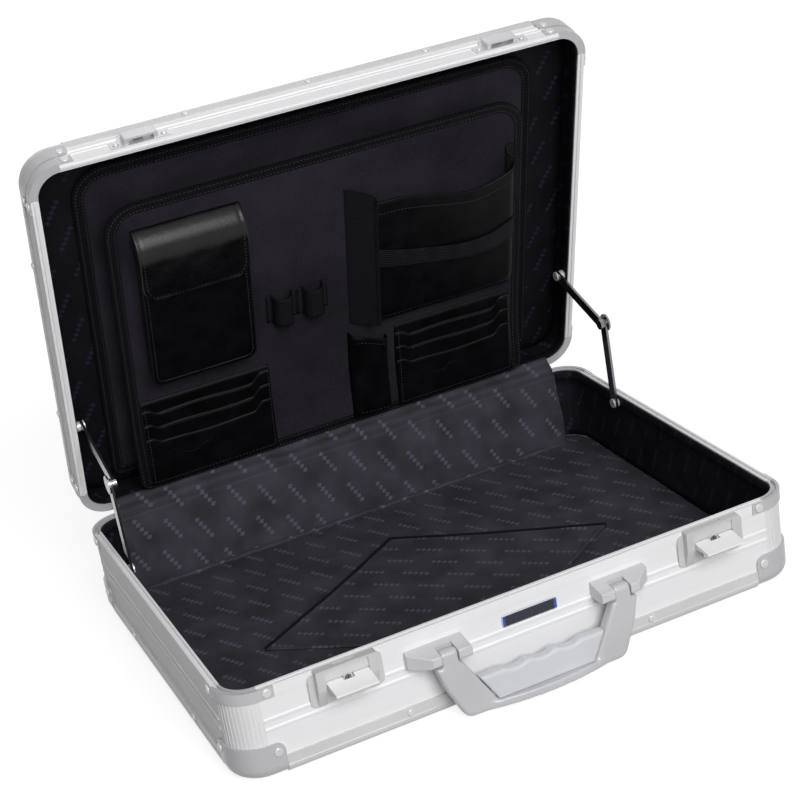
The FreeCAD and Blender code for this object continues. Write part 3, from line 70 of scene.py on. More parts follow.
def fill(tree, shader, **values):
    for word, value in values.items():
        put(tree, value, shader.inputs[shaderWords[word]])


def calc(tree, operation, *values):
    node = tree.nodes.new("ShaderNodeMath")
    node.operation = operation
    for value, socket in zip(values, node.inputs):
        put(tree, value, socket)
    return node.outputs[0]


def times(tree, first, second):
    return calc(tree, "MULTIPLY", first, second)


def plus(tree, first, second):
    return calc(tree, "ADD", first, second)


def fromMiddle(tree, value, middle):
    return calc(tree, "ABSOLUTE", calc(tree, "SUBTRACT", value, middle))


def coords(tree, kind, scale=(1, 1, 1), turn=(0, 0, 0)):
    source = tree.nodes.new("ShaderNodeTexCoord")
    mapping = tree.nodes.new("ShaderNodeMapping")
    mapping.inputs["Scale"].default_value = scale
    mapping.inputs["Rotation"].default_value = turn
    tree.links.new(source.outputs[kind], mapping.inputs["Vector"])
    return mapping.outputs["Vector"]


def split(tree, at):
    node = tree.nodes.new("ShaderNodeSeparateXYZ")
    tree.links.new(at, node.inputs[0])
    return node.outputs["X"], node.outputs["Y"]


def noise(tree, at, scale, detail=3.0, rough=0.5):
    node = tree.nodes.new("ShaderNodeTexNoise")
    tree.links.new(at, node.inputs["Vector"])
    node.inputs["Scale"].default_value = scale
    node.inputs["Detail"].default_value = detail
    node.inputs["Roughness"].default_value = rough
    return node.outputs["Fac"]


def cells(tree, at, scale):
    node = tree.nodes.new("ShaderNodeTexVoronoi")
    tree.links.new(at, node.inputs["Vector"])
    node.inputs["Scale"].default_value = scale
    return node.outputs["Distance"]


def span(tree, value, low, high, newLow, newHigh):
    node = tree.nodes.new("ShaderNodeMapRange")
    put(tree, value, node.inputs["Value"])
    ends = {"From Min": low, "From Max": high, "To Min": newLow, "To Max": newHigh}
    for key, number in ends.items():
        node.inputs[key].default_value = number
    return node.outputs["Result"]


def wear(tree, value, look):
    return span(tree, value, *noiseReach, look["smooth"], look["rough"])


def tint(tree, share, first, second):
    node = tree.nodes.new("ShaderNodeMix")
    node.data_type = "RGBA"
    put(tree, share, node.inputs["Factor"])
    for key, colour in (("A", first), ("B", second)):
        put(tree, colour if isinstance(colour, bpy.types.NodeSocket) else (*colour, 1), node.inputs[key])
    return node.outputs["Result"]


def toned(tree, share, reach, look):
    return tint(tree, span(tree, share, *reach, 0, 1), look["dark"], look["pale"])


def emboss(tree, shader, height, depth):
    node = tree.nodes.new("ShaderNodeBump")
    node.inputs["Distance"].default_value = depth
    put(tree, height, node.inputs["Height"])
    tree.links.new(node.outputs["Normal"], shader.inputs["Normal"])


def seenRay(tree):
    path = tree.nodes.new("ShaderNodeLightPath").outputs
    ray = calc(tree, "MAXIMUM", path["Is Camera Ray"], path["Is Glossy Ray"])
    return calc(tree, "MAXIMUM", ray, path["Is Transmission Ray"])


def grey(value, blue=0.0):
    return value, value, value + blue


# metal finishes
lidTurn = math.radians(72.7)
aluminium = {"pale": grey(0.88, 0.01), "dark": grey(0.82, 0.015), "metallic": 0.03, "gloss": 0.2,
             "smooth": 0.40, "rough": 0.52, "grain": 0.00001, "turn": (0, 0, 0), "cloud": 14.0,
             "streaks": 0.6}
satin = {"metallic": 0.1, "gloss": 0.3, "smooth": 0.28, "rough": 0.40, "speck": 1400, "grain": 0.00001,
         "cloud": 20.0, "reach": (0.7, 1.3)}


def brushedMetal(name, look):
    look = {**aluminium, **look}
    finish, tree, shader = newFinish(name)
    streak = noise(tree, coords(tree, "Object", look["brush"], look["turn"]), 1.0, 4.0, 0.6)
    cloud = noise(tree, coords(tree, "Object"), look["cloud"], 2.0)
    share = plus(tree, times(tree, streak, look["streaks"]), times(tree, cloud, 1 - look["streaks"]))
    fill(tree, shader, colour=toned(tree, share, noiseReach, look), metallic=look["metallic"],
         roughness=wear(tree, streak, look), gloss=look["gloss"])
    emboss(tree, shader, streak, look["grain"])
    return finish


def satinMetal(name, look):
    look = {**satin, **look}
    finish, tree, shader = newFinish(name)
    at = coords(tree, "Object")
    speck = noise(tree, at, look["speck"], 3.0, 0.6)
    cloud = noise(tree, at, look["cloud"], 2.0)
    fill(tree, shader, colour=toned(tree, plus(tree, speck, cloud), look["reach"], look),
         metallic=look["metallic"], roughness=wear(tree, cloud, look), gloss=look["gloss"])
    emboss(tree, shader, speck, look["grain"])
    return finish


wallLong = brushedMetal("brushed_wall_long", {"brush": (6, 900, 900)})
wallSide = brushedMetal("brushed_wall_side", {"brush": (900, 6, 900)})
wallLid = brushedMetal("brushed_wall_lid", {"brush": (900, 6, 900), "turn": (lidTurn, 0, 0)})
postMetal = brushedMetal("brushed_post", {"pale": grey(0.83, 0.01), "dark": grey(0.75, 0.01),
                                          "brush": (900, 900, 8)})
trimMetal = satinMetal("formed_trim", {"pale": grey(0.68), "dark": grey(0.60)})
panelMetal = satinMetal("rolled_panel", {"pale": grey(0.78, 0.02), "dark": grey(0.70, 0.02), "speck": 900})
cornerMetal = satinMetal("satin_corner", {"pale": grey(0.56, 0.02), "dark": grey(0.49, 0.02),
                                          "smooth": 0.24, "rough": 0.34})
rivetMetal = satinMetal("rivet_steel", {"pale": grey(0.70, -0.01), "dark": grey(0.60, -0.01),
                                        "metallic": 0.3})
hingeMetal = satinMetal("hinge_steel", {"pale": grey(0.58, 0.02), "dark": grey(0.46, 0.02), "metallic": 0.6})
stayMetal = satinMetal("gunmetal_stay", {"pale": grey(0.30, 0.01), "dark": grey(0.20, 0.01),
                                         "metallic": 0.95, "smooth": 0.14, "rough": 0.22})
# the latch housing is the lever's metal made darker: painted shade on its cheeks and around the lever
shadedHousingMetal = satinMetal("latch_metal_in_shade", {"pale": grey(0.62), "dark": grey(0.54)})
leverMetal = satinMetal("bright_lever", {"pale": grey(0.92), "dark": grey(0.86), "metallic": 0.04})
bracketMetal = satinMetal("cast_bracket", {"pale": grey(0.66, 0.02), "dark": grey(0.58, 0.02)})
boltMetal = satinMetal("bolt_steel", {"pale": grey(0.64, 0.02), "dark": grey(0.52, 0.02), "metallic": 0.6})
lockMetal = satinMetal("lock_steel", {"pale": grey(0.22, 0.02), "dark": grey(0.12, 0.02), "metallic": 0.7})
bailMetal = satinMetal("silver_bail", {"pale": grey(0.57, 0.02), "dark": grey(0.50, 0.02), "speck": 2200})
gripPlastic = satinMetal("pearl_grip", {"pale": (0.66, 0.67, 0.70), "dark": (0.58, 0.59, 0.62),
                                        "metallic": 0.0, "smooth": 0.36, "rough": 0.46, "speck": 2600})

# edge softening on the metal nodes
softening = {"join": 0.01, "flat": math.radians(3), "sharp": math.radians(35), "pull": 0.5, "skin": 0.8}


def dress(name, finish, bevel=0.0, segments=2):
    node = nodes[name]
    node.data.materials.clear()
    node.data.materials.append(finish)
    if bevel:
        join = node.modifiers.new("joinedFaces", "WELD")
        join.merge_threshold = softening["join"] * mm
        merge = node.modifiers.new("wholeFaces", "DECIMATE")
        merge.decimate_type = "DISSOLVE"
        merge.angle_limit = softening["flat"]
        soften = node.modifiers.new("softenedEdges", "BEVEL")
        soften.width = bevel * mm
        soften.segments = segments
        soften.limit_method = "ANGLE"
        soften.angle_limit = softening["sharp"]


def mould(name, finish, rounds):
    dress(name, finish)
    skin = nodes[name].modifiers.new("evenSkin", "REMESH")
    skin.mode = "VOXEL"
    skin.voxel_size = softening["skin"] * mm
    skin.use_smooth_shade = True
    soften = nodes[name].modifiers.new("roundedEdges", "SMOOTH")
    soften.factor = softening["pull"]
    soften.iterations = rounds


for half, sideFinish in (("base", wallSide), ("lid", wallLid)):
    for part, finish in (("front_wall", wallLong), ("back_wall", wallLong), ("left_wall", sideFinish),
                         ("right_wall", sideFinish), ("panel", panelMetal), ("corner_posts", postMetal),
                         ("rim_corners", cornerMetal), ("corner_caps", cornerMetal),
                         ("edge_trims", trimMetal), ("rivets", rivetMetal)):
        dress(half + "_" + part, finish)
for name, finish in (("hinge_base_leaf", hingeMetal), ("hinge_lid_leaf", hingeMetal),
                     ("hinge_pin", hingeMetal), ("stay_base_pivots", rivetMetal),
                     ("stay_lid_pivots", rivetMetal)):
    dress(name, finish)
for side in ("left", "right"):
    # latch housings get the darker copy of the latch metal: painted shade
    for part, finish, bevel in (("stay_lower_arm", stayMetal, 0), ("stay_upper_arm", stayMetal, 0),
                                ("stay_elbow", stayMetal, 0), ("latch_housing", shadedHousingMetal, 0.5),
                                ("latch_lever", leverMetal, 0.5), ("latch_bolt", boltMetal, 0),
                                ("lock_cylinder", lockMetal, 0), ("keeper", boltMetal, 0)):
        dress(part + "_" + side, finish, bevel)
dress("handle_brackets", bracketMetal, 1.0, 3)
mould("handle_bail", bailMetal, 12)
mould("handle_grip", gripPlastic, 14)
print("metal pieces dressed")

# cloth and leather finishes
lozenges = {"lean": math.radians(62), "cell": (38, 19), "step": 4.7, "count": 5, "lozenge": (2.3, 2.9),
            "edge": (0.7, 1.1), "twill": 1.1, "twillShare": 0.35, "cloud": 0.03, "fibre": 1.6,
            "thread": (0.35, 0.6, 0.25, 1), "smooth": 0.52, "rough": 0.72, "sheen": 0.0, "depth": 0.0001}
ribbed = {"smooth": 0.5, "rough": 0.7, "sheen": 0.0, "gloss": 0.1, "fibre": 2.2, "weaveShare": 0.35,
          "reach": (0.2, 0.85)}
softReach = (0.35, 0.65)


def wovenLining(name, look):
    look = {**lozenges, **look}
    finish, tree, shader = newFinish(name)
    across, along = split(tree, coords(tree, "UV", cutInMm, (0, 0, look["lean"])))
    wide, tall = look["cell"]
    step = look["step"]

    def fromCell(value, size):
        return fromMiddle(tree, calc(tree, "FLOORED_MODULO", value, size), size / 2)

    row = calc(tree, "FLOOR", calc(tree, "DIVIDE", along, tall))
    shift = times(tree, calc(tree, "FLOORED_MODULO", row, 2), wide / 2)
    fromGroup = fromCell(plus(tree, across, shift), wide)
    fromLozenge = fromCell(plus(tree, fromGroup, step / 2), step)
    reach = plus(tree, calc(tree, "DIVIDE", fromLozenge, look["lozenge"][0]),
                 calc(tree, "DIVIDE", fromCell(along, tall), look["lozenge"][1]))
    motif = times(tree, span(tree, reach, *look["edge"], 1, 0),
                  calc(tree, "LESS_THAN", fromGroup, step * look["count"] / 2))
    twill = calc(tree, "SINE", times(tree, plus(tree, across, along), 2 * math.pi / look["twill"]))
    plain = coords(tree, "UV", cutInMm)
    cloud = noise(tree, plain, look["cloud"])
    fibre = noise(tree, plain, look["fibre"], 2.0)
    thread = times(tree, motif, span(tree, fibre, *look["thread"]))
    fill(tree, shader, colour=tint(tree, thread, toned(tree, cloud, softReach, look), look["motif"]),
         roughness=wear(tree, fibre, look), sheen=look["sheen"], gloss=look["gloss"])
    height = plus(tree, times(tree, twill, look["twillShare"]), plus(tree, fibre, motif))
    emboss(tree, shader, height, look["depth"])
    return finish


def feltBoard(name, look):
    finish, tree, shader = newFinish(name)
    at = coords(tree, "Object")
    fuzz = noise(tree, at, look["fuzz"], 5.0, 0.65)
    cloud = noise(tree, at, look["cloud"])
    share = plus(tree, times(tree, fuzz, look["fuzzShare"]), times(tree, cloud, 1 - look["fuzzShare"]))
    fill(tree, shader, colour=toned(tree, share, look["reach"], look), roughness=wear(tree, fuzz, look),
         sheen=look["sheen"], gloss=look["gloss"])
    emboss(tree, shader, fuzz, look["nap"])
    return finish


def grainedLeather(name, look):
    finish, tree, shader = newFinish(name)
    at = coords(tree, "Object")
    pebble = cells(tree, at, look["pebble"])
    crease = noise(tree, at, look["crease"], 4.0, 0.6)
    fill(tree, shader, colour=toned(tree, crease, softReach, look), roughness=wear(tree, crease, look),
         gloss=look["gloss"])
    height = plus(tree, times(tree, pebble, look["pebbleShare"]), times(tree, crease, look["creaseShare"]))
    emboss(tree, shader, height, look["grain"])
    return finish


def ribbedWeb(name, look):
    look = {**ribbed, **look}
    finish, tree, shader = newFinish(name)
    at = coords(tree, "UV", cutInMm)
    ribs = [calc(tree, "SINE", times(tree, way, 2 * math.pi / rib))
            for way, rib in zip(split(tree, at), look["rib"])]
    weave = times(tree, *ribs)
    fibre = noise(tree, at, look["fibre"])
    share = plus(tree, times(tree, weave, look["weaveShare"]), fibre)
    fill(tree, shader, colour=toned(tree, share, look["reach"], look), roughness=wear(tree, fibre, look),
         sheen=look["sheen"], gloss=look["gloss"])
    emboss(tree, shader, plus(tree, weave, fibre), look["depth"])
    return finish


liningCloth = wovenLining("woven_lining", {
    "dark": (0.024, 0.023, 0.029), "pale": (0.046, 0.044, 0.056), "motif": (0.105, 0.10, 0.148),
    "sheen": 0.02, "gloss": 0.14})
# the lid's lining is the tray's lining cloth; this copy is made much darker, painted shade for the inside of
# the open lid
shadedLidLining = wovenLining("lining_in_lid_shade", {
    "dark": (0.003, 0.003, 0.004), "pale": (0.006, 0.006, 0.008), "motif": (0.02, 0.019, 0.045),
    "gloss": 0.08})
# the tray's walls are the same lining cloth as its floor; this copy is made darker, painted shade on walls
# that stand in shade
shadedWallLining = wovenLining("wall_lining", {
    "dark": (0.005, 0.005, 0.007), "pale": (0.011, 0.010, 0.014), "motif": (0.03, 0.028, 0.05),
    "gloss": 0.1})
boardFelt = feltBoard("organizer_felt", {
    "dark": (0.007, 0.006, 0.010), "pale": (0.027, 0.024, 0.033), "fuzz": 1100, "fuzzShare": 0.6,
    "cloud": 16.0, "reach": (0.38, 0.62), "smooth": 0.8, "rough": 0.95, "sheen": 0.03, "gloss": 0.08,
    "nap": 0.0005})
coverLeather = grainedLeather("cover_leather", {
    "dark": (0.0015, 0.0015, 0.002), "pale": (0.0035, 0.0035, 0.0045), "smooth": 0.24, "rough": 0.30,
    "gloss": 0.24, "pebble": 1100, "pebbleShare": 0.5, "crease": 60.0, "creaseShare": 0.25, "grain": 0.00012})
blackLeather = grainedLeather("black_leather", {
    "dark": (0.0012, 0.0012, 0.0016), "pale": (0.003, 0.003, 0.004), "smooth": 0.38, "rough": 0.46,
    "gloss": 0.09, "pebble": 1000, "pebbleShare": 0.5, "crease": 60.0, "creaseShare": 0.2, "grain": 0.00016})
# dark ribbed cloth of the gussets and bellows; also laid on the floor pocket's roll of lining cloth, where
# its black is painted shade
gussetClothAndShade = ribbedWeb("gusset_cloth_and_roll_shade", {
    "dark": grey(0.002, 0.001), "pale": grey(0.007, 0.002), "rib": (1.4, 1.4), "rough": 0.75,
    "depth": 0.0002})
elasticWeb = ribbedWeb("elastic_web", {
    "dark": grey(0.002, 0.001), "pale": grey(0.008, 0.002), "rib": (1.8, 40.0), "depth": 0.0005})
bindingTape = ribbedWeb("binding_tape", {
    "dark": grey(0.002, 0.001), "pale": (0.009, 0.008, 0.012), "rib": (2.2, 2.6), "rough": 0.72,
    "depth": 0.0012})
sewingThread = ribbedWeb("sewing_thread", {
    "dark": (0.025, 0.025, 0.029), "pale": (0.080, 0.080, 0.092), "rib": (0.6, 0.6), "sheen": 0.02,
    "gloss": 0.2, "depth": 0.0001})

# what each kind of piece is cut from: finish, body that carries it, slot
trayLining = (liningCloth, "base", "lining_cloth")
hingeLining = (liningCloth, None, "lining_cloth")
# the floor pocket's roll is lining cloth coloured black: painted shade along the fold
shadedPocketRoll = (gussetClothAndShade, "base", "lining_cloth")
# the lid's panel and walls take the darker copy of the lining cloth: painted shade
shadedLidPanelLining = (shadedLidLining, "lid", "lining_cloth")
boardCloth = (boardFelt, "lid", "felt_cloth")
boardTape = (bindingTape, "lid", "felt_cloth")
bellowsCloth = (gussetClothAndShade, "lid", "bellows_cloth")
pocketLeather = (blackLeather, "lid", "black_leather")
pocketGusset = (gussetClothAndShade, "lid", "black_leather")
flapLeather = (coverLeather, "phone_flap", "black_leather")
elastic = (elasticWeb, "lid", "elastic_web")
stitch = {"lining": (3.3, 2.2, 0.32), "board": (3.0, 2.0, 0.34), "leather": (3.0, 2.0, 0.3),
          "elastic": (2.6, 1.8, 0.3), "card": (2.8, 1.9, 0.26)}      # pitch, length, thickness


# places: the tray's are the frame's own, the lid's are counted from its rim and turned with it
hingeLine = {"y": 169.4, "z": 72.3, "rimAbove": 0.3}
frontLean = {"run": (96.0, 168.0), "out": 8.0}      # the loaded front board leans out of the lid at its foot


def between(first, second, share):
    return first + (second - first) * share


def ease(value):
    value = min(max(value, 0.0), 1.0)
    return value * value * (3 - 2 * value)


def trayPoint(x, y, z):
    return Vector((x, y, z)) * mm


def lidPoint(x, y, z):
    run, rise = y - hingeLine["y"], z + hingeLine["rimAbove"]
    return Vector((x, hingeLine["y"] + run * math.cos(lidTurn) + rise * math.sin(lidTurn),
                   hingeLine["z"] - run * math.sin(lidTurn) + rise * math.cos(lidTurn))) * mm


def leanAt(y):
    start, end = frontLean["run"]
    return frontLean["out"] * ease((y - start) / (end - start))


def boardPoint(x, y, z):
    return lidPoint(x, y, z - leanAt(y))


lidOut = (lidPoint(0, 0, -1) - lidPoint(0, 0, 0)).normalized()      # out of the open lid, towards the tray
trayUp = Vector((0, 0, 1))
trayFront = Vector((0, -1, 0))


# lines and waves
def runningLengths(line):
    lengths = [0.0]
    for first, second in zip(line, line[1:]):
        lengths.append(lengths[-1] + math.dist(first, second))
    return lengths


def lineOver(place, start, end, steps):
    shares = [step / steps for step in range(steps + 1)]
    return [place(between(start[0], end[0], share), between(start[1], end[1], share)) for share in shares]


def through(stops, value):
    last = len(stops) - 1
    index = next((spot for spot in range(last) if value <= stops[spot + 1][0]), last - 1)
    (x0, y0), (x1, y1) = stops[index], stops[index + 1]
    before, after = stops[max(index - 1, 0)], stops[min(index + 2, last)]
    width = x1 - x0
    share = min(max((value - x0) / width, 0.0), 1.0)
    leave = (y1 - before[1]) / (x1 - before[0]) * width
    arrive = (after[1] - y0) / (after[0] - x0) * width
    return ((2 * share ** 3 - 3 * share ** 2 + 1) * y0 + (share ** 3 - 2 * share ** 2 + share) * leave
            + (3 * share ** 2 - 2 * share ** 3) * y1 + (share ** 3 - share ** 2) * arrive)


def bend(line, value):
    stops = [index / (len(line) - 1) for index in range(len(line))]
    return [through([(stop, spot[axis]) for stop, spot in zip(stops, line)], value)
            for axis in range(len(line[0]))]


def sway(at, across, pace, drift, driftPace, lead=0.0):
    return math.sin(at * pace + drift * math.sin(across * driftPace) + lead)


def arch(share):
    return math.sin(math.pi * share)


def roundedEnd(share, start):
    return math.sqrt(max(1 - max(0.0, (share - start) / (1 - start)) ** 2, 0.0))


# pieces
threadForm = {"sunk": 0.4, "belly": 0.28, "cut": 0.001}
leastRadius = 0.4
twistPace = 2.1


def patch(column, row):
    return (column, row), (column + 1, row), (column + 1, row + 1), (column, row + 1)


def addPiece(name, cloth, points, faces, flat):
    finish, body, slotName = cloth
    mesh = bpy.data.meshes.new(name)
    mesh.from_pydata([tuple(point) for point in points], [], faces)
    layer = mesh.uv_layers.new(name="cut")
    for polygon in mesh.polygons:
        polygon.use_smooth = True
        for loop, corner in zip(polygon.loop_indices, flat[polygon.index]):
            layer.data[loop].uv = corner
    mesh.materials.append(finish)
    piece = bpy.data.objects.new(name, mesh)
    scene.collection.objects.link(piece)
    if body:
        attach(piece, body)
    return piece


def thicken(piece, sheet):
    solid = piece.modifiers.new("clothThickness", "SOLIDIFY")
    solid.thickness = sheet * mm
    solid.offset = 0.0
    return piece


def gridSheet(name, cloth, look, place, cut=None):
    columns, rows = look["grid"]
    cut = cut or (lambda u, v: (look["cut"][0] * u, look["cut"][1] * v))
    points = [place(column / columns, row / rows) for row in range(rows + 1) for column in range(columns + 1)]
    faces, flat = [], []
    for row in range(rows):
        for column in range(columns):
            corners = patch(column, row)
            faces.append(tuple(r * (columns + 1) + c for c, r in corners))
            flat.append([tuple(size * mm for size in cut(c / columns, r / rows)) for c, r in corners])
    return thicken(addPiece(name, cloth, points, faces, flat), look["sheet"])


def roundLoop(edges, radii, inset, steps, runs):
    x0, x1, y0, y1 = edges
    corners = []
    for x, y, toX, toY, radius in ((x0, y0, 1, 1, radii[0]), (x1, y0, -1, 1, radii[1]),
                                   (x1, y1, -1, -1, radii[2]), (x0, y1, 1, -1, radii[3])):
        turn = max(radius - inset, leastRadius)
        corners.append((x + toX * (inset + turn), y + toY * (inset + turn), turn))
    loop = []
    for index, (x, y, turn) in enumerate(corners):
        start = math.pi + index * math.pi / 2
        for step in range(steps + 1):
            angle = start + step / steps * math.pi / 2
            loop.append((x + turn * math.cos(angle), y + turn * math.sin(angle)))
        nextX, nextY, nextTurn = corners[(index + 1) % 4]
        angle = start + math.pi / 2
        end = (nextX + nextTurn * math.cos(angle), nextY + nextTurn * math.sin(angle))
        last = loop[-1]
        for step in range(1, runs):
            loop.append(tuple(between(last[axis], end[axis], step / runs) for axis in (0, 1)))
    return loop


# an open band of rings, or a closed solid whose faces are cut flat
def ringSheet(name, cloth, loopAt, profile, place, solid=False):
    rings = [loopAt(inset, level) for inset, level in profile]
    count, last = len(rings[0]), len(rings) - 1
    points = [place(x, y, level) for ring, (inset, level) in zip(rings, profile) for x, y in ring]
    lengths, rises = runningLengths(rings[0] + rings[0][:1]), runningLengths(profile)

    def cut(index, ring):
        x, y = rings[ring][index % count] if solid else (lengths[index], rises[ring])
        return x * mm, y * mm

    faces, flat = [], []
    for ring in range(last):
        for index in range(count):
            corners = patch(index, ring)
            faces.append(tuple(r * count + c % count for c, r in corners))
            flat.append([cut(c, r) for c, r in corners])
    if solid:
        for ring, order in ((0, range(count - 1, -1, -1)), (last, range(count))):
            faces.append(tuple(ring * count + index for index in order))
            flat.append([cut(index, ring) for index in order])
    return addPiece(name, cloth, points, faces, flat)


def walk(path, pitch, closed):
    spots = list(path) + ([path[0]] if closed else [])
    total = sum((b - a).length for a, b in zip(spots, spots[1:]))
    count = max(int(total / pitch), 1)
    wanted = [(index + 0.5) * total / count for index in range(count)]
    travelled, found = 0.0, []
    for a, b in zip(spots, spots[1:]):
        run = (b - a).length
        while wanted and run > 0 and wanted[0] <= travelled + run:
            found.append((a.lerp(b, (wanted.pop(0) - travelled) / run), (b - a).normalized()))
        travelled += run
    return found


def stitches(name, cloth, path, out, sizes, closed=False):
    pitch, length, thick = (size * mm for size in sizes)
    cut = threadForm["cut"]
    tip, belly = [(0, 0), (cut, 0), (cut, cut)], [(0, 0), (cut, 0), (cut, 2 * cut), (0, 2 * cut)]
    points, faces, flat = [], [], []
    for spot, ahead in walk(path, pitch, closed):
        side = ahead.cross(out).normalized()
        base = len(points)
        sunk = out * thick * threadForm["sunk"]
        points += [spot - ahead * length / 2 - sunk, spot + ahead * length / 2 - sunk]
        for way in (-1, 1):
            middle = spot + ahead * length * way * threadForm["belly"]
            points += [middle + away * thick for away in (side, out, -side, -out)]
        for index in range(4):
            first, second = base + 2 + index, base + 2 + (index + 1) % 4
            faces += [(base, second, first), (first, second, second + 4, first + 4),
                      (base + 1, first + 4, second + 4)]
            flat += [tip, belly, tip]
    return addPiece(name, (sewingThread, *cloth[1:]), points, faces, flat)


def piping(name, cloth, path, radius, out, sides=8, twist=0.0):
    lengths, last = runningLengths(path), len(path) - 1
    points, faces, flat = [], [], []
    for index, spot in enumerate(path):
        ahead = (path[min(index + 1, last)] - path[max(index - 1, 0)]).normalized()
        side = ahead.cross(out).normalized()
        up = side.cross(ahead)
        for step in range(sides):
            angle = 2 * math.pi * step / sides
            swell = radius * mm * (1 + twist * math.sin(lengths[index] / mm * twistPace + angle))
            points.append(spot + (side * math.cos(angle) + up * math.sin(angle)) * swell)
    for index in range(last):
        for step in range(sides):
            corners = patch(step, index)
            faces.append(tuple(r * sides + c % sides for c, r in corners))
            flat.append([(lengths[r], c * radius * mm) for c, r in corners])
    for index, order in ((0, range(sides - 1, -1, -1)), (last, range(sides))):
        faces.append(tuple(index * sides + step for step in order))
        flat.append([(0, 0)] * sides)
    return addPiece(name, cloth, points, faces, flat)


# tray lining
def roundedBoard(u, v, half, radius):
    halfX, halfY = half
    x, y = (2 * u - 1) * halfX, (2 * v - 1) * halfY
    overX, overY = abs(x) - (halfX - radius), abs(y) - (halfY - radius)
    if overX > 0 and overY > 0:
        inward = max(overX, overY) / math.hypot(overX, overY)
        x = math.copysign(halfX - radius + overX * inward, x)
        y = math.copysign(halfY - radius + overY * inward, y)
    return x, y


def trayFloor():
    look = {"half": (225.2, 161.8), "radius": 20.4, "level": 4.9, "sheet": 1.8, "grid": (72, 52),
            "wave": 0.35, "waveX": (0.047, 1.7, 0.031), "waveY": (0.053, 1.1, 0.023)}

    def cut(u, v):
        return roundedBoard(u, v, look["half"], look["radius"])

    def place(u, v):
        x, y = cut(u, v)
        wave = sway(x, y, *look["waveX"]) * sway(y, x, *look["waveY"])
        return trayPoint(x, y, look["level"] + look["wave"] * (wave - 1) / 2)

    piece = gridSheet("tray_floor_cloth", trayLining, look, place, cut)
    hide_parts("base_floor_lining")


def wallCloth(name, cloth, place, levels, node):
    look = {"half": (229.0, 165.5), "radius": 24.0, "wall": 2.9, "rim": 5.6, "sheet": 0.8, "ripple": 0.4,
            "fold": 1.3, "foldAt": (219, 151), "foldReach": (9, 11), "parts": (14, 26),
            "ripplePaces": ((0.9, 0.0), (0.37, 1.0)), "foldPace": (2.1, 0.12), "rows": 9,
            "turnShares": (0.35, 0.7, 1.0), "rimShares": (0.3, 0.65, 1.0)}
    low, high, turn, top = levels
    halfX, halfY = look["half"]

    def loopAt(inset, level):
        loop = roundLoop((-halfX, halfX, -halfY, halfY), [look["radius"]] * 4, inset, *look["parts"])
        middle = max(1 - abs(2 * (level - low) / (high - low) - 1), 0.0)
        bent = []
        for index, (x, y) in enumerate(loop):
            ripples = [math.sin(index * pace + lead) for pace, lead in look["ripplePaces"]]
            swell = look["ripple"] * middle * sum(ripples) / len(ripples)
            fromFold = ((abs(x) - look["foldAt"][0]) / look["foldReach"][0],
                        (y - look["foldAt"][1]) / look["foldReach"][1])
            corner = math.exp(-fromFold[0] ** 2 - fromFold[1] ** 2)
            crease = math.sin(index * look["foldPace"][0] + level * look["foldPace"][1])
            swell -= look["fold"] * corner * middle * (1 + crease)
            outward = 1 + swell / math.hypot(x, y)
            bent.append((x * outward, y * outward))
        return bent

    profile = [(look["wall"], between(low, high, row / look["rows"])) for row in range(look["rows"] + 1)]
    profile += [(between(look["wall"], look["rim"], share), between(high, turn, share))
                for share in look["turnShares"]]
    profile += [(look["rim"], between(turn, top, share)) for share in look["rimShares"]]
    piece = thicken(ringSheet(name, cloth, loopAt, profile, place), look["sheet"])
    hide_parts(node)
    return piece


def backFlap():
    look = {"half": 205.0, "foot": (148.4, 6.0), "head": (158.0, 69.4), "rise": 64.5, "sheet": 1.5,
            "grid": (150, 26), "belly": 1.0, "ripple": 0.55, "rippleWave": (0.085, 2.2, 0.013),
            "rippleSlant": 2.0, "drawnFrom": 165, "drawnOver": 40, "crease": 1.3, "creaseWave": (0.27, 8.0),
            "rumple": 0.5, "rumpleFrom": 0.72, "rumpleWave": (0.19, 2.0, 0.031),
            "welt": 2.3, "weltAt": (146.6, 6.3), "weltStep": 4.0, "weltSteps": 51,
            "weltWaves": ((0.4, 0.7), (0.3, 1.9)), "hem": 1.3, "hemAt": 204.6, "hemSteps": 20,
            "seamAt": 200.0, "seamRun": (0.05, 0.95), "seamSteps": 18, "seamLift": 0.8}

    def spot(x, v):
        drawn = ease((abs(x) - look["drawnFrom"]) / look["drawnOver"])      # the ends crease slantwise
        sag = look["belly"] + look["ripple"] * sway(x, x, *look["rippleWave"], v * look["rippleSlant"])
        sag += look["crease"] * drawn * math.sin(x * look["creaseWave"][0] + v * look["creaseWave"][1])
        rumpled = ease((v - look["rumpleFrom"]) / (1 - look["rumpleFrom"]))     # the free head is rumpled
        sag = sag * arch(v) + look["rumple"] * rumpled * sway(x, x, *look["rumpleWave"])
        y, z = (between(look["foot"][axis], look["head"][axis], v) for axis in (0, 1))
        return trayPoint(x, y - sag, z)

    def place(u, v):
        return spot((2 * u - 1) * look["half"], v)

    def cut(u, v):
        return (2 * u - 1) * look["half"], look["rise"] * v

    piece = gridSheet("tray_back_cloth", trayLining, look, place, cut)
    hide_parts("base_back_flap")
    weltY, weltZ = look["weltAt"]
    foot = []
    for step in range(-look["weltSteps"], look["weltSteps"] + 1):
        wave = sum(deep * math.sin(step * pace) for deep, pace in look["weltWaves"])
        foot.append(trayPoint(step * look["weltStep"], weltY + wave, weltZ))
    piping("tray_back_welt", trayLining, foot, look["welt"], trayUp)
    seamStart, seamEnd = look["seamRun"]
    for side, way in (("left", -1), ("right", 1)):
        hemX, seamX = way * look["hemAt"], way * look["seamAt"]
        end = lineOver(spot, (hemX, 0), (hemX, 1), look["hemSteps"])
        piping("tray_back_hem_" + side, trayLining, end, look["hem"], trayFront)
        line = lineOver(spot, (seamX, seamStart), (seamX, seamEnd), look["seamSteps"])
        line = [at + trayFront * look["seamLift"] * mm for at in line]
        stitches("tray_back_seam_" + side, trayLining, line, trayFront, stitch["lining"])


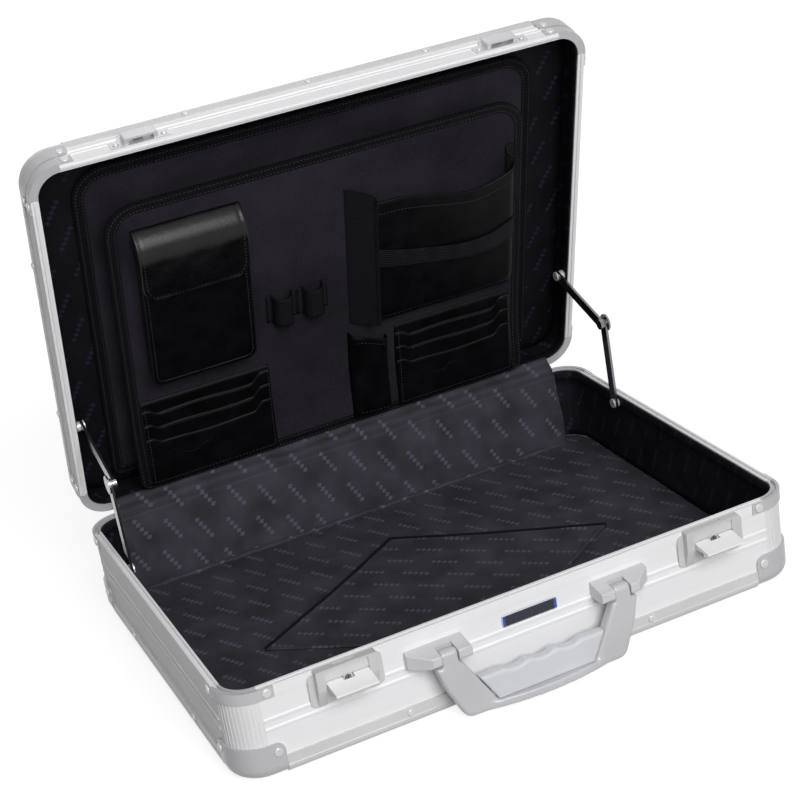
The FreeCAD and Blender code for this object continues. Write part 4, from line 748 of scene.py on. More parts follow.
def hingeCloth():
    look = {"half": 205.0, "sheet": 0.8, "grid": (128, 14), "flatFrom": 62.5, "rise": 21.2,
            "pucker": 0.4, "puckerWave": (0.11, 1.5, 0.021), "puckerSlant": 2.5, "puckerOut": 0.5,
            "sag": 0.8, "sagWave": (0.036, 0.8, 0.017), "sagEnds": (1.6, 3),
            "rumple": 0.5, "rumpleWave": (0.19, 2.0, 0.031), "rumpleTo": 0.75, "rumpleOver": 0.4,
            "line": [(157.6, 67.6), (157.8, 70.0), (158.2, 72.4), (158.8, 74.6), (160.4, 76.5), (162.8, 77.6),
                     (164.8, 79.2), (166.0, 81.3), (167.4, 82.6), (169.4, 83.0)]}

    def place(u, v):
        x = (2 * u - 1) * look["half"]
        y, z = bend(look["line"], v)
        pucker = look["pucker"] * arch(v) * sway(x, x, *look["puckerWave"], v * look["puckerSlant"])
        rumpled = ease((look["rumpleTo"] - v) / look["rumpleOver"])
        rumple = look["rumple"] * rumpled * sway(x, x, *look["rumpleWave"])
        free = ease(v * look["sagEnds"][0]) * ease((1 - v) * look["sagEnds"][1])
        sag = look["sag"] * free * sway(x, x, *look["sagWave"])
        return trayPoint(x, y - pucker * look["puckerOut"] - rumple, z - pucker + sag)

    def cut(u, v):
        return (2 * u - 1) * look["half"], look["flatFrom"] + look["rise"] * v

    return gridSheet("hinge_cloth", hingeLining, look, place, cut)


def floorPocket():
    # a ring is a share of the outline and its level
    look = {"corners": [(-152.0, -12.0), (0.0, -122.0), (152.0, -12.0), (0.0, 86.0)],
            "middle": (0.0, -14.0), "runs": 22, "bow": 2.2, "ripple": 0.12, "ripplePace": 1.1,
            "rippleFrom": 0.94, "seamShare": 0.955, "seamLevel": 7.1, "roll": 1.3, "rollLevel": 7.5,
            "rollTwist": 0.16, "rollSides": 10, "rollSteps": 6, "cutTurn": (0.94, 0.34),
            "rings": [(1.0, 5.95), (1.0, 6.9), (0.992, 7.45), (0.98, 7.5), (0.965, 7.2), (0.95, 6.85),
                      (0.92, 6.7), (0.8, 6.62), (0.6, 6.6), (0.4, 6.62), (0.2, 6.6), (0.02, 6.6)]}
    middleX, middleY = look["middle"]
    runs, last = look["runs"], len(look["rings"]) - 1
    edge = []
    for (x0, y0), (x1, y1) in zip(look["corners"], look["corners"][1:] + look["corners"][:1]):
        for share in (step / runs for step in range(runs)):
            x, y = between(x0, x1, share), between(y0, y1, share)
            inward = 1 - look["bow"] * arch(share) / math.hypot(x - middleX, y - middleY)
            edge.append((between(middleX, x, inward), between(middleY, y, inward)))
    count = len(edge)

    def ring(share, level, ripple=0.0):
        return [trayPoint(between(middleX, x, share), between(middleY, y, share),
                          level + ripple * math.sin(index * look["ripplePace"]))
                for index, (x, y) in enumerate(edge)]

    points, faces = [], []
    for share, level in look["rings"]:
        points += ring(share, level, look["ripple"] if share > look["rippleFrom"] else 0.0)
    for row in range(last):
        faces += [tuple(r * count + c % count for c, r in patch(index, row)) for index in range(count)]
    faces += [tuple(last * count + index for index in range(count)), tuple(range(count - 1, -1, -1))]
    along, aside = look["cutTurn"]
    cut = [(point.x * along + point.y * aside, point.y * along - point.x * aside) for point in points]
    flat = [[cut[at] for at in face] for face in faces]
    piece = addPiece("floor_pocket_cloth", trayLining, points, faces, flat)
    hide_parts("floor_pocket")
    stitches("floor_pocket_seam", trayLining, ring(look["seamShare"], look["seamLevel"]), trayUp,
             stitch["lining"], True)
    rim = ring(1.0, look["rollLevel"])
    for side, first in (("right", 2 * runs), ("left", 3 * runs)):
        line = [rim[(first + step) % count] for step in range(runs + 1)]
        shares = [step / look["rollSteps"] for step in range(look["rollSteps"])]
        path = [a.lerp(b, share) for a, b in zip(line, line[1:]) for share in shares]
        # the roll is coloured black as painted shade along the pocket's fold
        piping("floor_pocket_roll_" + side, shadedPocketRoll, path, look["roll"], trayUp, look["rollSides"],
               look["rollTwist"])


trayFloor()
# the tray's walls take the darker copy of the lining cloth: painted shade
trayWalls = wallCloth("tray_wall_cloth", (shadedWallLining, "base", "lining_cloth"), trayPoint,
                      (6.0, 60.4, 63.4, 70.9), "base_wall_lining")
backFlap()
floorPocket()
print("tray lining sewn")


# lid lining and the organizer's boards
def lidCloth():
    look = {"half": (226.4, 163.0), "radius": 21.4, "level": 27.0, "sheet": 1.6, "grid": (60, 44),
            "wave": 0.25, "wavePaces": (0.06, 0.05)}

    def cut(u, v):
        return roundedBoard(u, v, look["half"], look["radius"])

    def place(u, v):
        x, y = cut(u, v)
        paceX, paceY = look["wavePaces"]
        return lidPoint(x, y, look["level"] + look["wave"] * math.sin(x * paceX) * math.sin(y * paceY))

    piece = gridSheet("lid_cloth", shadedLidPanelLining, look, place, cut)
    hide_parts("lid_panel_lining")


def board(name, node, place, look):
    front, rear = look["levels"]
    radii = (look["headRound"], look["headRound"], look["footRound"], look["footRound"])

    def loopAt(inset, level):
        return roundLoop(look["edges"], radii, inset, *look["parts"])

    profile = [(inset, rear) for inset in (90.0, 60.0, 40.0, 20.0, 12.0, 6.0)]
    profile += [(1.2, rear - 0.1), (0.3, rear - 0.6), (0.0, (front + rear) / 2), (0.3, front + 0.6),
                (1.2, front + 0.1), (6.0, front), (12.0, front - 0.1), (20.0, front - 0.15),
                (40.0, front - 0.2), (60.0, front - 0.25), (90.0, front - 0.25)]
    piece = ringSheet(name, boardCloth, loopAt, profile, place, True)
    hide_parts(node)
    wide, lip, under = look["tape"]
    proud = front - lip * 1.15
    tape = [(wide, front + 0.1), (wide, front - lip), (wide * 0.55, proud), (1.4, front - lip),
            (0.2, front - lip * 0.4), (-0.3, front + 0.7), (-0.3, rear - 0.7), (0.2, rear - 0.1),
            (1.4, rear + under), (wide * 0.55, rear + under), (wide, rear + under * 0.5), (wide, rear - 0.2)]
    ringSheet(name + "_tape", boardTape, loopAt, tape, place)
    for index, inset in enumerate((wide - 1.3, 1.9)):
        line = [place(x, y, proud) for x, y in loopAt(inset, 0)]
        stitches(name + "_seam_" + str(index), boardCloth, line, lidOut, stitch["board"], True)


def bellows():
    look = {"x": 168.0, "run": (30.0, 148.0), "depth": (8.6, 22.2), "pleats": 3, "fold": 3.2, "headDrop": 10,
            "wrinkle": 0.4, "wrinkleWave": (0.3, 9), "wrinkleHead": 0.25, "sheet": 0.9, "grid": (40, 18),
            "cut": (118, 22)}
    web = {"y": 150.6, "front": 3.2, "deep": 19, "sag": 0.72, "ripple": 0.24, "rippleWave": (0.16, 3),
           "sheet": 0.9, "grid": (60, 8)}
    front, rear = look["depth"]
    for side, way in (("left", -1), ("right", 1)):
        def place(u, v, way=way):
            pleat = abs((v * look["pleats"]) % 1.0 * 2 - 1)
            y = between(*look["run"], u) + look["headDrop"] * (1 - v) * (1 - u)
            wrinkle = math.sin(y * look["wrinkleWave"][0] + v * look["wrinkleWave"][1])
            wrinkle *= look["wrinkle"] * between(look["wrinkleHead"], 1.0, u)
            x = way * (look["x"] + look["fold"] * (pleat - 0.5) + wrinkle)
            return lidPoint(x, y, between(front - leanAt(y), rear, v))

        piece = gridSheet("bellows_" + side, bellowsCloth, look, place)
    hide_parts("organizer_gussets")

    def foot(u, v):
        x = (2 * u - 1) * look["x"]
        ripple = math.sin(x * web["rippleWave"][0] + v * web["rippleWave"][1])
        sag = web["sag"] * arch(v) + web["ripple"] * ripple
        return lidPoint(x, web["y"] + sag, web["front"] + web["deep"] * v)

    def footCut(u, v):
        return (2 * u - 1) * look["x"], web["deep"] * v

    strip = gridSheet("bellows_foot", bellowsCloth, web, foot, footCut)


# telephone pocket: stitched front leaf, sunken side strip, cover that rolls over the mouth
coverRoll = {"top": -91.2, "back": 3.6, "radius": 26.0, "lean": math.radians(65)}


def coverDepth(y):
    sine = max(math.sin(coverRoll["lean"]) - max(y - coverRoll["top"], 0.0) / coverRoll["radius"], 0.0)
    rise = math.sqrt(1 - sine * sine) - math.cos(coverRoll["lean"])
    return coverRoll["back"] - coverRoll["radius"] * rise


def phonePocket():
    look = {"edges": (-159.0, -71.0, -64.0, 48.0), "front": -9.9, "sheet": 1.8, "footRound": 9.0,
            "mouthRound": 2.0, "parts": (8, 10), "seam": 3.4, "seamFrom": 6, "seamSunk": 0.05}
    gusset = {"inset": 1.6, "from": 3, "wingFrom": 2.5, "wingStep": 3.0, "wings": 9, "panel": 5.2,
              "sunk": 2.6, "ruffle": 0.2, "rufflePace": 40, "under": 0.3, "belowCover": 1.5,
              "drawTo": -40, "sheet": 0.9, "grid": (110, 8), "cut": (350, 14)}
    x0, x1, y0 = look["edges"][:3]
    middle = (x0 + x1) / 2
    radii = (look["mouthRound"], look["mouthRound"], look["footRound"], look["footRound"])
    front, rear = look["front"], look["front"] + look["sheet"]

    def loopAt(inset, level):
        return roundLoop(look["edges"], radii, inset, *look["parts"])

    profile = [(5.0, rear), (0.6, rear - 0.1), (0.0, rear - 0.6), (0.0, front + 0.6), (0.5, front + 0.15),
               (1.4, front), (2.6, front + 0.12), (3.4, front + 0.22), (4.2, front + 0.1), (8.0, front),
               (22.0, front - 0.1), (38.0, front - 0.15)]
    leaf = ringSheet("phone_pocket_leaf", pocketLeather, loopAt, profile, lidPoint, True)
    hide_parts("phone_pocket")
    seam = [spot for spot in loopAt(look["seam"], 0) if spot[1] > y0 + look["seamFrom"]]
    path = sorted((spot for spot in seam if spot[0] < middle), key=lambda spot: spot[1])
    path += sorted((spot for spot in seam if spot[0] >= middle), key=lambda spot: -spot[1])
    line = [lidPoint(x, y, front + look["seamSunk"]) for x, y in path]
    stitches("phone_pocket_seam", pocketLeather, line, lidOut, stitch["leather"])
    rim = [spot for spot in loopAt(gusset["inset"], 0) if spot[1] > y0 + gusset["from"]]
    wingTop = coverRoll["top"] + gusset["wingFrom"]
    wings = [wingTop + step * gusset["wingStep"] for step in range(gusset["wings"])]
    side = [(x0 + gusset["inset"], y) for y in wings]
    side += sorted((spot for spot in rim if spot[0] < middle), key=lambda spot: (spot[1], spot[0]))
    side += sorted((spot for spot in rim if spot[0] >= middle), key=lambda spot: (-spot[1], spot[0]))
    side += [(x1 - gusset["inset"], y) for y in reversed(wings)]

    def strip(u, v):
        run = u * (len(side) - 1)
        index = min(int(run), len(side) - 2)
        x, y = (between(side[index][axis], side[index + 1][axis], run - index) for axis in (0, 1))
        lip = max(rear - gusset["under"], coverDepth(y) + gusset["belowCover"])
        deep = (gusset["panel"] - lip) / (gusset["panel"] + gusset["under"] - rear)
        ruffle = 1 - gusset["ruffle"] * (1 - math.sin(u * gusset["rufflePace"]))
        sunk = gusset["sunk"] * arch(v) * ruffle * deep
        inward = 1 - sunk / math.hypot(x - middle, y - gusset["drawTo"])
        return lidPoint(between(middle, x, inward), between(gusset["drawTo"], y, inward),
                        between(lip, gusset["panel"], v))

    gridSheet("phone_pocket_side", pocketGusset, gusset, strip)


def phoneFlap():
    look = {"half": 44.0, "middle": -115.0, "round": 15.0, "sheet": 1.6, "start": 4.5, "roll": 24.0,
            "closing": 1.3, "straight": (-64.0, -58.0, -52.0, -46.0, -40.0, -33.8), "edge": 3.4,
            "groove": 0.3, "swell": 0.35, "swellFrom": 0.3, "swellEnds": (4, 5), "dent": 0.14,
            "dentWave": (0.21, 0.1), "dentPace": 0.17, "dentFrom": 0.2, "dentOver": 0.25, "grid": (64, 76),
            "cut": (88, 64), "rollSteps": 24, "seamSteps": 60, "threadSunk": 0.1}
    shares = [step / look["rollSteps"] for step in range(look["rollSteps"] + 1)]
    rolled = [coverRoll["top"] + look["roll"] * share ** look["closing"] for share in shares]
    line = [(coverRoll["top"], look["start"])] + [(y, coverDepth(y)) for y in (*rolled, *look["straight"])]
    lengths = runningLengths(line)
    total = lengths[-1]

    def at(reach):
        index = next((spot for spot in range(len(line) - 2) if reach <= lengths[spot + 1]), len(line) - 2)
        (y0, z0), (y1, z1) = line[index], line[index + 1]
        size = lengths[index + 1] - lengths[index]
        share = (reach - lengths[index]) / size
        return between(y0, y1, share), between(z0, z1, share), (z1 - z0) / size, -(y1 - y0) / size

    def halfAt(reach):
        over = max(reach - (total - look["round"]), 0.0)
        return look["half"] - look["round"] + math.sqrt(max(look["round"] ** 2 - over ** 2, 0.0))

    def place(u, v):
        reach = total * (1 - (1 - v) ** look["closing"])
        y, z, outY, outZ = at(reach)
        x = look["middle"] + (2 * u - 1) * halfAt(reach)
        inset = min((1 - abs(2 * u - 1)) * look["half"], total - reach)
        groove = look["groove"] * math.exp(-(inset - look["edge"]) ** 2)
        swellHead, swellFoot = look["swellEnds"]
        ends = ease((v - look["swellFrom"]) * swellHead) * ease((1 - v) * swellFoot)
        swell = look["swell"] * arch(u) * ends
        dent = math.sin(x * look["dentWave"][0] + y * look["dentWave"][1]) * math.sin(y * look["dentPace"])
        dent *= look["dent"] * ease((v - look["dentFrom"]) / look["dentOver"])
        lift = swell - groove - dent
        return lidPoint(x, y + outY * lift, z + outZ * lift)

    piece = gridSheet("phone_pocket_cover", flapLeather, look, place)
    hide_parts("phone_flap")
    reaches = [total * step / look["seamSteps"] for step in range(2, look["seamSteps"] + 1)]
    seam = [(look["middle"] - halfAt(reach + 1.0) + look["edge"], reach)
            for reach in reaches if reach < total - look["edge"]]
    seam += [(2 * look["middle"] - x, reach) for x, reach in reversed(seam)]
    lift = look["sheet"] / 2 - look["threadSunk"]
    path = []
    for x, reach in seam:
        y, z, outY, outZ = at(reach)
        path.append(lidPoint(x, y + outY * lift, z + outZ * lift))
    stitches("phone_cover_seam", flapLeather, path, lidOut, stitch["board"])


# loops and strap of ribbed elastic, cut along the web
def webCut(look):
    wide, long = look["flat"]
    return lambda u, v: (wide * v, long * u)


def penLoops():
    look = {"places": (-42.0, -15.0), "half": 8.4, "rise": 11.4, "tab": 5.0, "run": (4.0, 30.0), "sheet": 1.1,
            "panel": 4.3, "squeeze": 0.5, "crown": 0.8, "grid": (48, 10), "flat": (26, 41),
            "seamOut": 2.6, "seamFrom": 1, "seamStep": 4.0, "seamSteps": 7, "seamLevel": 3.6}
    half, panel = look["half"], look["panel"]
    over = math.pi * (half + look["rise"]) / 2
    for index, middle in enumerate(look["places"]):
        def place(u, v, middle=middle):
            reach = u * (over + 2 * look["tab"]) - look["tab"]
            y = between(*look["run"], v)
            if reach < 0:
                return lidPoint(middle - half + reach, y, panel)
            if reach > over:
                return lidPoint(middle + half + reach - over, y, panel)
            angle = math.pi * reach / over
            squeeze = look["squeeze"] * arch(v)
            return lidPoint(middle - (half - squeeze) * math.cos(angle), y,
                            panel - (look["rise"] - squeeze) * math.sin(angle) ** look["crown"])

        piece = gridSheet("pen_loop_" + str(index), elastic, look, place, webCut(look))
        for mark, way in (("a", -1), ("b", 1)):
            x = middle + way * (half + look["seamOut"])
            start = look["run"][0] + look["seamFrom"]
            seam = [start + step * look["seamStep"] for step in range(look["seamSteps"])]
            line = [lidPoint(x, y, look["seamLevel"]) for y in seam]
            stitches("pen_loop_seam_" + str(index) + mark, elastic, line, lidOut, stitch["elastic"])


# media pocket: swelling leaf, ribbed side strip, curled end, strap across
mediaForm = {"run": (37.0, 169.0), "panel": 4.6, "depth": 12.6, "foot": 59.5, "thin": 0.02,
             "endFrom": 0.93, "endFall": 0.95, "startFall": 0.10, "startPace": 8, "footFrom": 0.86}
leafSeamLift = 0.7


def mediaDepth(x, v):
    left, right = mediaForm["run"]
    u = (x - left) / (right - left)
    atEnd = max(0.0, (u - mediaForm["endFrom"]) / (1 - mediaForm["endFrom"])) ** 2
    atStart = 1 - ease(u * mediaForm["startPace"])
    sideways = 1 - atEnd * mediaForm["endFall"] - atStart * mediaForm["startFall"]
    lower = roundedEnd(v, mediaForm["footFrom"])
    swell = max(sideways, mediaForm["thin"]) * max(lower, mediaForm["thin"])
    return mediaForm["panel"] - mediaForm["depth"] * swell


def leafSeams(name, place, seams):
    for side, (start, end, steps) in seams.items():
        line = [spot + lidOut * leafSeamLift * mm for spot in lineOver(place, start, end, steps)]
        stitches(name + side, pocketLeather, line, lidOut, stitch["leather"])


def mediaPocket():
    look = {"mouth": [(37.0, -61.0), (60.0, -61.5), (84.0, -57.0), (108.0, -51.0), (128.0, -48.5),
                      (145.0, -51.5), (158.0, -56.0), (169.0, -61.5)], "sheet": 1.3, "lip": 1.2,
            "dent": 0.3, "dentPace": 0.09, "dentWave": (0.08, 0.03), "dentRun": 1.05, "curl": 0.8,
            "curlFall": 14, "grid": (72, 56), "cut": (132, 118), "lipSteps": 60,
            "seams": {"mouth": ((0.01, 0.085), (0.97, 0.085), 50),
                      "right": ((0.955, 0.05), (0.955, 0.91), 40), "foot": ((0.02, 0.93), (0.95, 0.93), 50),
                      "left": ((0.022, 0.05), (0.022, 0.91), 40)}}

    def place(u, v):
        x = between(*mediaForm["run"], u)
        y = between(through(look["mouth"], x), mediaForm["foot"], v)
        dent = math.sin(x * look["dentPace"] + 1)
        dent *= math.sin(y * look["dentWave"][0] + x * look["dentWave"][1])
        dent *= look["dent"] * arch(min(u * look["dentRun"], 1.0))
        curl = look["curl"] * math.exp(-v * look["curlFall"]) * arch(u)
        return lidPoint(x, y, mediaDepth(x, v) + dent - curl)

    leaf = gridSheet("media_pocket_leaf", pocketLeather, look, place)
    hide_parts("media_pocket")
    brim = lineOver(place, (0, 0), (1, 0), look["lipSteps"])
    piping("media_pocket_lip", pocketLeather, brim, look["lip"], lidOut)
    leafSeams("media_pocket_seam_", place, look["seams"])


def mediaSides():
    looks = {"strip": {"line": [(17.0, 4.2), (20.5, 3.0), (26.0, -0.6), (31.5, -4.6), (36.6, -8.0),
                                (38.8, -9.6), (38.6, -10.3), (36.8, -9.0)],
                       "head": [(0.0, -75.0), (0.35, -73.5), (0.6, -70.5), (0.8, -66.5), (1.0, -62.5)],
                       "foot": 56.0, "sheet": 0.9, "grid": (26, 216), "cut": (32, 128)},
             "curl": {"line": [(170.5, -2.5), (166.5, -2.0), (163.2, 0.6), (161.8, 3.2), (163.6, 4.0),
                               (169.0, 4.0)],
                      "head": [(0.0, -62.5), (0.3, -66.0), (0.6, -71.0), (0.8, -74.0), (1.0, -73.0)],
                      "foot": -24.0, "sheet": 0.9, "grid": (24, 90), "cut": (18, 46)}}
    ribs = {"pitch": 2.5, "height": 0.26, "from": 5, "lip": 0.75, "lipSteps": 40}
    made, brims = {}, {}
    for part, look in looks.items():
        def place(u, v, look=look):
            x, z = bend(look["line"], u)
            y = between(through(look["head"], u), look["foot"], v)
            wave = math.sin(2 * math.pi * y / ribs["pitch"])
            return lidPoint(x, y, z - ribs["height"] * wave * ease(u * ribs["from"]))

        made[part] = gridSheet("media_pocket_" + part, pocketGusset, look, place)
        brims[part] = lineOver(place, (0, 0), (1, 0), ribs["lipSteps"])
    for part, brim in brims.items():
        piping("media_" + part + "_lip", pocketLeather, brim, ribs["lip"], lidOut)


def mediaStrap():
    look = {"run": (37.5, 165.5), "half": 8.6, "sheet": 1.1, "mouth": -55.0, "lift": 1.3, "bow": 1.6,
            "crown": 0.35, "waist": 0.08, "grid": (60, 8), "flat": (17.2, 131),
            "line": [(37.5, -10.0), (60.0, -5.0), (84.0, -0.5), (108.0, 4.2), (126.0, 5.8), (142.0, 4.8),
                     (156.0, 0.0), (165.5, -4.0)]}

    def place(u, v):
        x = between(*look["run"], u)
        half = look["half"] * (1 - look["waist"] * (1 - math.cos(2 * math.pi * u)))
        y = through(look["line"], x) + (2 * v - 1) * half
        depth = mediaDepth(x, (y - look["mouth"]) / (mediaForm["foot"] - look["mouth"]))
        return lidPoint(x, y, depth - look["lift"] - look["bow"] * arch(u) - look["crown"] * arch(v))

    piece = gridSheet("media_strap", elastic, look, place, webCut(look))
    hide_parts("elastic_loops")


def smallPocket():
    look = {"run": (15.0, 49.0), "foot": 153.0,
            "mouth": [(15.0, 66.0), (26.0, 68.0), (38.0, 74.0), (49.0, 79.0)], "panel": 4.6, "depth": 9.6,
            "square": 5, "taper": 0.14, "footFrom": 0.8, "thin": 0.03, "dent": 0.5, "dentWave": (0.13, 0.1),
            "sheet": 1.2, "lip": 1.0, "lipSteps": 40, "grid": (40, 40), "cut": (40, 74),
            "seams": {"mouth": ((0.1, 0.06), (0.9, 0.06), 20), "foot": ((0.12, 0.9), (0.88, 0.9), 20)}}

    def place(u, v):
        x = between(*look["run"], u)
        y = between(through(look["mouth"], x), look["foot"], v)
        sideways = math.sqrt(max(1 - abs(2 * u - 1) ** look["square"], 0.0))
        lower = roundedEnd(v, look["footFrom"])
        swell = max(sideways * (1 - look["taper"] * v), look["thin"]) * max(lower, look["thin"])
        dent = math.sin(y * look["dentWave"][0] + x * look["dentWave"][1]) * look["dent"] * sideways * lower
        return boardPoint(x, y, look["panel"] - look["depth"] * swell + dent)

    leaf = gridSheet("small_pocket_leaf", pocketLeather, look, place)
    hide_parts("small_pocket")
    brim = lineOver(place, (0, 0), (1, 0), look["lipSteps"])
    piping("small_pocket_lip", pocketLeather, brim, look["lip"], lidOut)
    leafSeams("small_pocket_seam_", place, look["seams"])


def cardPocket(side, edges):
    look = {"foot": 151.5, "lips": (71.5, 84.0, 98.5, 113.0), "levels": (4.1, 3.2, 2.3, 1.4), "sheet": 0.8,
            "grid": (64, 18), "cut": (110, 70), "lip": 0.42, "lipSides": 6, "wave": 0.8, "wavePace": 9,
            "dent": 0.12, "dentPaces": (0.11, 0.1), "seamRun": (0.14, 0.84), "steps": 40,
            "riseLeft": (5.0, 14, 8), "riseRight": (8.0, 17, 9),        # height, start from the end, run
            "seamDown": 2.4, "seamLift": 0.5, "frame": 2.4, "frameHead": 3, "frameLift": 0.45,
            "thumb": 0.35, "thumbAt": 21.0, "thumbLift": 0.6,
            "notch": [(0, 123.0), (4, 123.2), (7, 127.6), (14, 129.4), (22, 129.6), (26, 126.4), (30, 125.2),
                      (34, 125.4)]}
    x0, x1 = edges
    foot, lips, top = look["foot"], look["lips"], look["levels"][-1]
    down = (boardPoint(0, 1, 0) - boardPoint(0, 0, 0)).normalized()
    lift = down * look["seamDown"] * mm + lidOut * look["seamLift"] * mm
    for index, (lip, level) in enumerate(zip(lips, look["levels"])):
        mark = side + "_" + str(index)

        def place(u, v, lip=lip, level=level, index=index):
            x = between(x0, x1, u)
            head = lip
            if index:       # the slots' ends sweep up to the frame
                for fromEnd, (rise, start, run) in ((x - x0, look["riseLeft"]), (x1 - x, look["riseRight"])):
                    head -= rise * ease((start - fromEnd) / run)
                head += look["wave"] * math.sin(u * look["wavePace"] + index)
            y = between(head, foot, v)
            dent = math.sin(x * look["dentPaces"][0] + index) * math.sin(y * look["dentPaces"][1])
            return boardPoint(x, y, level + look["dent"] * dent)

        leaf = gridSheet("card_leaf_" + mark, pocketLeather, look, place)
        brim = lineOver(place, (0, 0), (1, 0), look["grid"][0])
        piping("card_lip_" + mark, pocketLeather, brim, look["lip"], lidOut, look["lipSides"])
        if index:
            start, end = look["seamRun"]
            line = [spot + lift for spot in lineOver(place, (start, 0), (end, 0), look["steps"])]
            stitches("card_seam_" + mark, pocketLeather, line, lidOut, stitch["card"])
        else:
            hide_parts("card_pocket_" + side)
    notch = [bend(look["notch"], step / look["steps"]) for step in range(look["steps"] + 1)]
    thumb = [boardPoint(x0 + look["thumbAt"] + x, y, top - look["thumbLift"]) for x, y in notch]
    piping("card_notch_" + side, pocketLeather, thumb, look["thumb"], lidOut, look["lipSides"])
    left, right = x0 + look["frame"], x1 - look["frame"]
    head, low = lips[0] + look["frameHead"], foot - look["frame"]
    frameLine = [boardPoint(x, y, top - look["frameLift"])
                 for x, y in ((left, head), (left, low), (right, low), (right, head))]
    stitches("card_frame_seam_" + side, pocketLeather, frameLine, lidOut, stitch["leather"])


lidCloth()
lidWalls = wallCloth("lid_wall_cloth", shadedLidPanelLining, lidPoint, (26.0, 11.6, 8.4, 1.3), "lid_wall_lining")
board("organizer_rear_board", "organizer_back_panel", lidPoint, {
    "edges": (-194, 194, -142, 152), "levels": (22.4, 25.7), "headRound": 26, "footRound": 8,
    "tape": (8.5, 0.6, 0.1), "parts": (10, 24)})
board("organizer_front_board", "organizer_front_panel", boardPoint, {
    "edges": (-178, 178, -114, 156.5), "levels": (5.0, 8.3), "headRound": 26, "footRound": 8,
    "tape": (8.0, 0.6, 0.3), "parts": (10, 24)})
bellows()
phonePocket()
phoneFlap()
penLoops()
mediaPocket()
mediaSides()
mediaStrap()
smallPocket()
cardPocket("left", (-169.5, -57.5))
cardPocket("right", (57.5, 167.0))
hinge = hingeCloth()
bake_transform(hinge)
print("organizer sewn")


# bare badge plate between the handle's brackets
def badgePlate():
    look = {"edges": (-20.0, 25.0, 48.3, 58.0), "wall": -165.5, "round": 2.2, "parts": (5, 4),
            "field": (0.012, 0.014, 0.03), "ends": (0.05, 0.09, 0.42), "endFrom": (19.2, 21.0),
            "rim": (0.55, 0.57, 0.62), "rimEnd": (21.8, 22.0), "rimSide": (4.05, 4.25),
            "smooth": 0.22, "rough": 0.34, "metallic": 0.2, "speck": 300}
    x0, x1, z0, z1 = look["edges"]
    finish, tree, shader = newFinish("badge_enamel")
    across, along = split(tree, coords(tree, "UV", cutInMm))
    fromEnd, fromSide = fromMiddle(tree, across, (x0 + x1) / 2), fromMiddle(tree, along, (z0 + z1) / 2)
    shade = tint(tree, span(tree, fromEnd, *look["endFrom"], 0, 1), look["field"], look["ends"])
    edge = calc(tree, "MAXIMUM", span(tree, fromSide, *look["rimSide"], 0, 1),
                span(tree, fromEnd, *look["rimEnd"], 0, 1))
    fill(tree, shader, colour=tint(tree, edge, shade, look["rim"]), metallic=look["metallic"],
         roughness=wear(tree, noise(tree, coords(tree, "Object"), look["speck"]), look))

    def loopAt(inset, level):
        return roundLoop(look["edges"], [look["round"]] * 4, inset, *look["parts"])

    profile = [(0.0, 0.0), (0.0, 0.7), (0.15, 0.95), (0.5, 1.05), (0.9, 0.95), (1.1, 0.75), (2.0, 0.78),
               (4.0, 0.8)]
    ringSheet("badge_plate", (finish, "base", "handle_metal"), loopAt, profile,
              lambda x, z, out: trayPoint(x, look["wall"] - out, z), True)


badgePlate()
print("badge plate set")


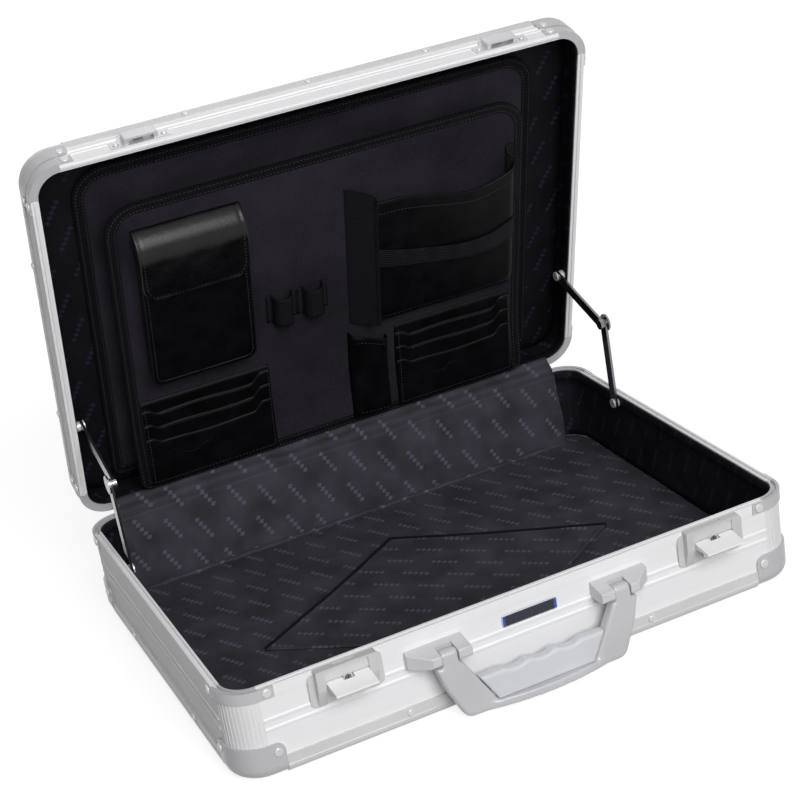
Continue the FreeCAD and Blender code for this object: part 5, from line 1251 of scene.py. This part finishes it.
# floor, light and camera
def paleFloor():
    look = {"half": 8.0, "level": -0.0003, "pale": grey(0.34), "dark": grey(0.33), "cloud": 3.0, "rough": 0.9,
            "gloss": 0.1, "reach": (0.35, 1.3), "lift": (0.80, 0.96)}
    finish, tree, shader = newFinish("pale_floor")
    cloud = noise(tree, coords(tree, "Object"), look["cloud"])
    fill(tree, shader, colour=tint(tree, cloud, look["dark"], look["pale"]), roughness=look["rough"],
         gloss=look["gloss"])
    reach = tree.nodes.new("ShaderNodeVectorMath")       # paler away from the case, whose shadow stays
    reach.operation = "LENGTH"
    tree.links.new(coords(tree, "Object"), reach.inputs[0])
    lift = span(tree, reach.outputs["Value"], *look["reach"], *look["lift"])
    shader.inputs["Emission Color"].default_value = (1, 1, 1, 1)
    put(tree, times(tree, seenRay(tree), lift), shader.inputs["Emission Strength"])
    mesh = bpy.data.meshes.new("studio_floor")
    half = look["half"]
    corners = [(-half, -half, 0), (half, -half, 0), (half, half, 0), (-half, half, 0)]
    mesh.from_pydata(corners, [], [(0, 1, 2, 3)])
    mesh.materials.append(finish)
    floor = bpy.data.objects.new("studio_floor", mesh)
    floor.location.z = look["level"]
    scene.collection.objects.link(floor)
    return floor


def softLight(name, look):
    light = bpy.data.lights.new(name, "AREA")
    light.shape = "RECTANGLE"
    light.size, light.size_y = look["size"]
    light.energy = look["power"]
    lamp = bpy.data.objects.new(name, light)
    lamp.location = look["place"]
    lamp.rotation_euler = (Vector(look["aim"]) - Vector(look["place"])).to_track_quat("-Z", "Y").to_euler()
    scene.collection.objects.link(lamp)
    return lamp


def studioAir():
    look = {"fill": 0.04, "seen": 1.0}
    scene.world = bpy.data.worlds.new("studio_air")
    scene.world.use_nodes = True
    tree = scene.world.node_tree
    ground = tree.nodes["Background"].inputs
    ground["Color"].default_value = (1, 1, 1, 1)
    put(tree, span(tree, seenRay(tree), 0, 1, look["fill"], look["seen"]), ground["Strength"])


def photoView():
    look = {"right": (0.89613556, -0.417612553, -0.150135982),
            "down": (-0.294618798, -0.306848436, -0.905010387),
            "ahead": (0.331874707, 0.855244873, -0.398014303),
            "place": (-0.483909702, -1.235854547, 0.741503494), "lens": 85.11534, "sensor": 36.0}
    lens = bpy.data.cameras.new("photo_view")
    lens.sensor_width = look["sensor"]
    lens.lens = look["lens"]
    eye = bpy.data.objects.new("photo_view", lens)
    right, up, back = Vector(look["right"]), -Vector(look["down"]), -Vector(look["ahead"])
    eye.matrix_world = Matrix.Translation(look["place"]) @ Matrix((right, up, back)).transposed().to_4x4()
    scene.collection.objects.link(eye)
    scene.camera = eye
    scene.view_settings.view_transform = "Standard"


floor = paleFloor()
keyLight = softLight("key_light", {"size": (1.6, 1.4), "power": 67, "place": (-0.18, -2.3, 1.6),
                                   "aim": (0, 0, 0.12)})
topLight = softLight("top_light", {"size": (3.0, 3.0), "power": 12, "place": (0.2, 0.1, 2.6),
                                   "aim": (0, 0, 0)})
backLight = softLight("back_light", {"size": (2.0, 1.6), "power": 11, "place": (0.0, 2.4, 1.5),
                                     "aim": (0, 0, 0.15)})
studioAir()
photoView()
print("studio set")
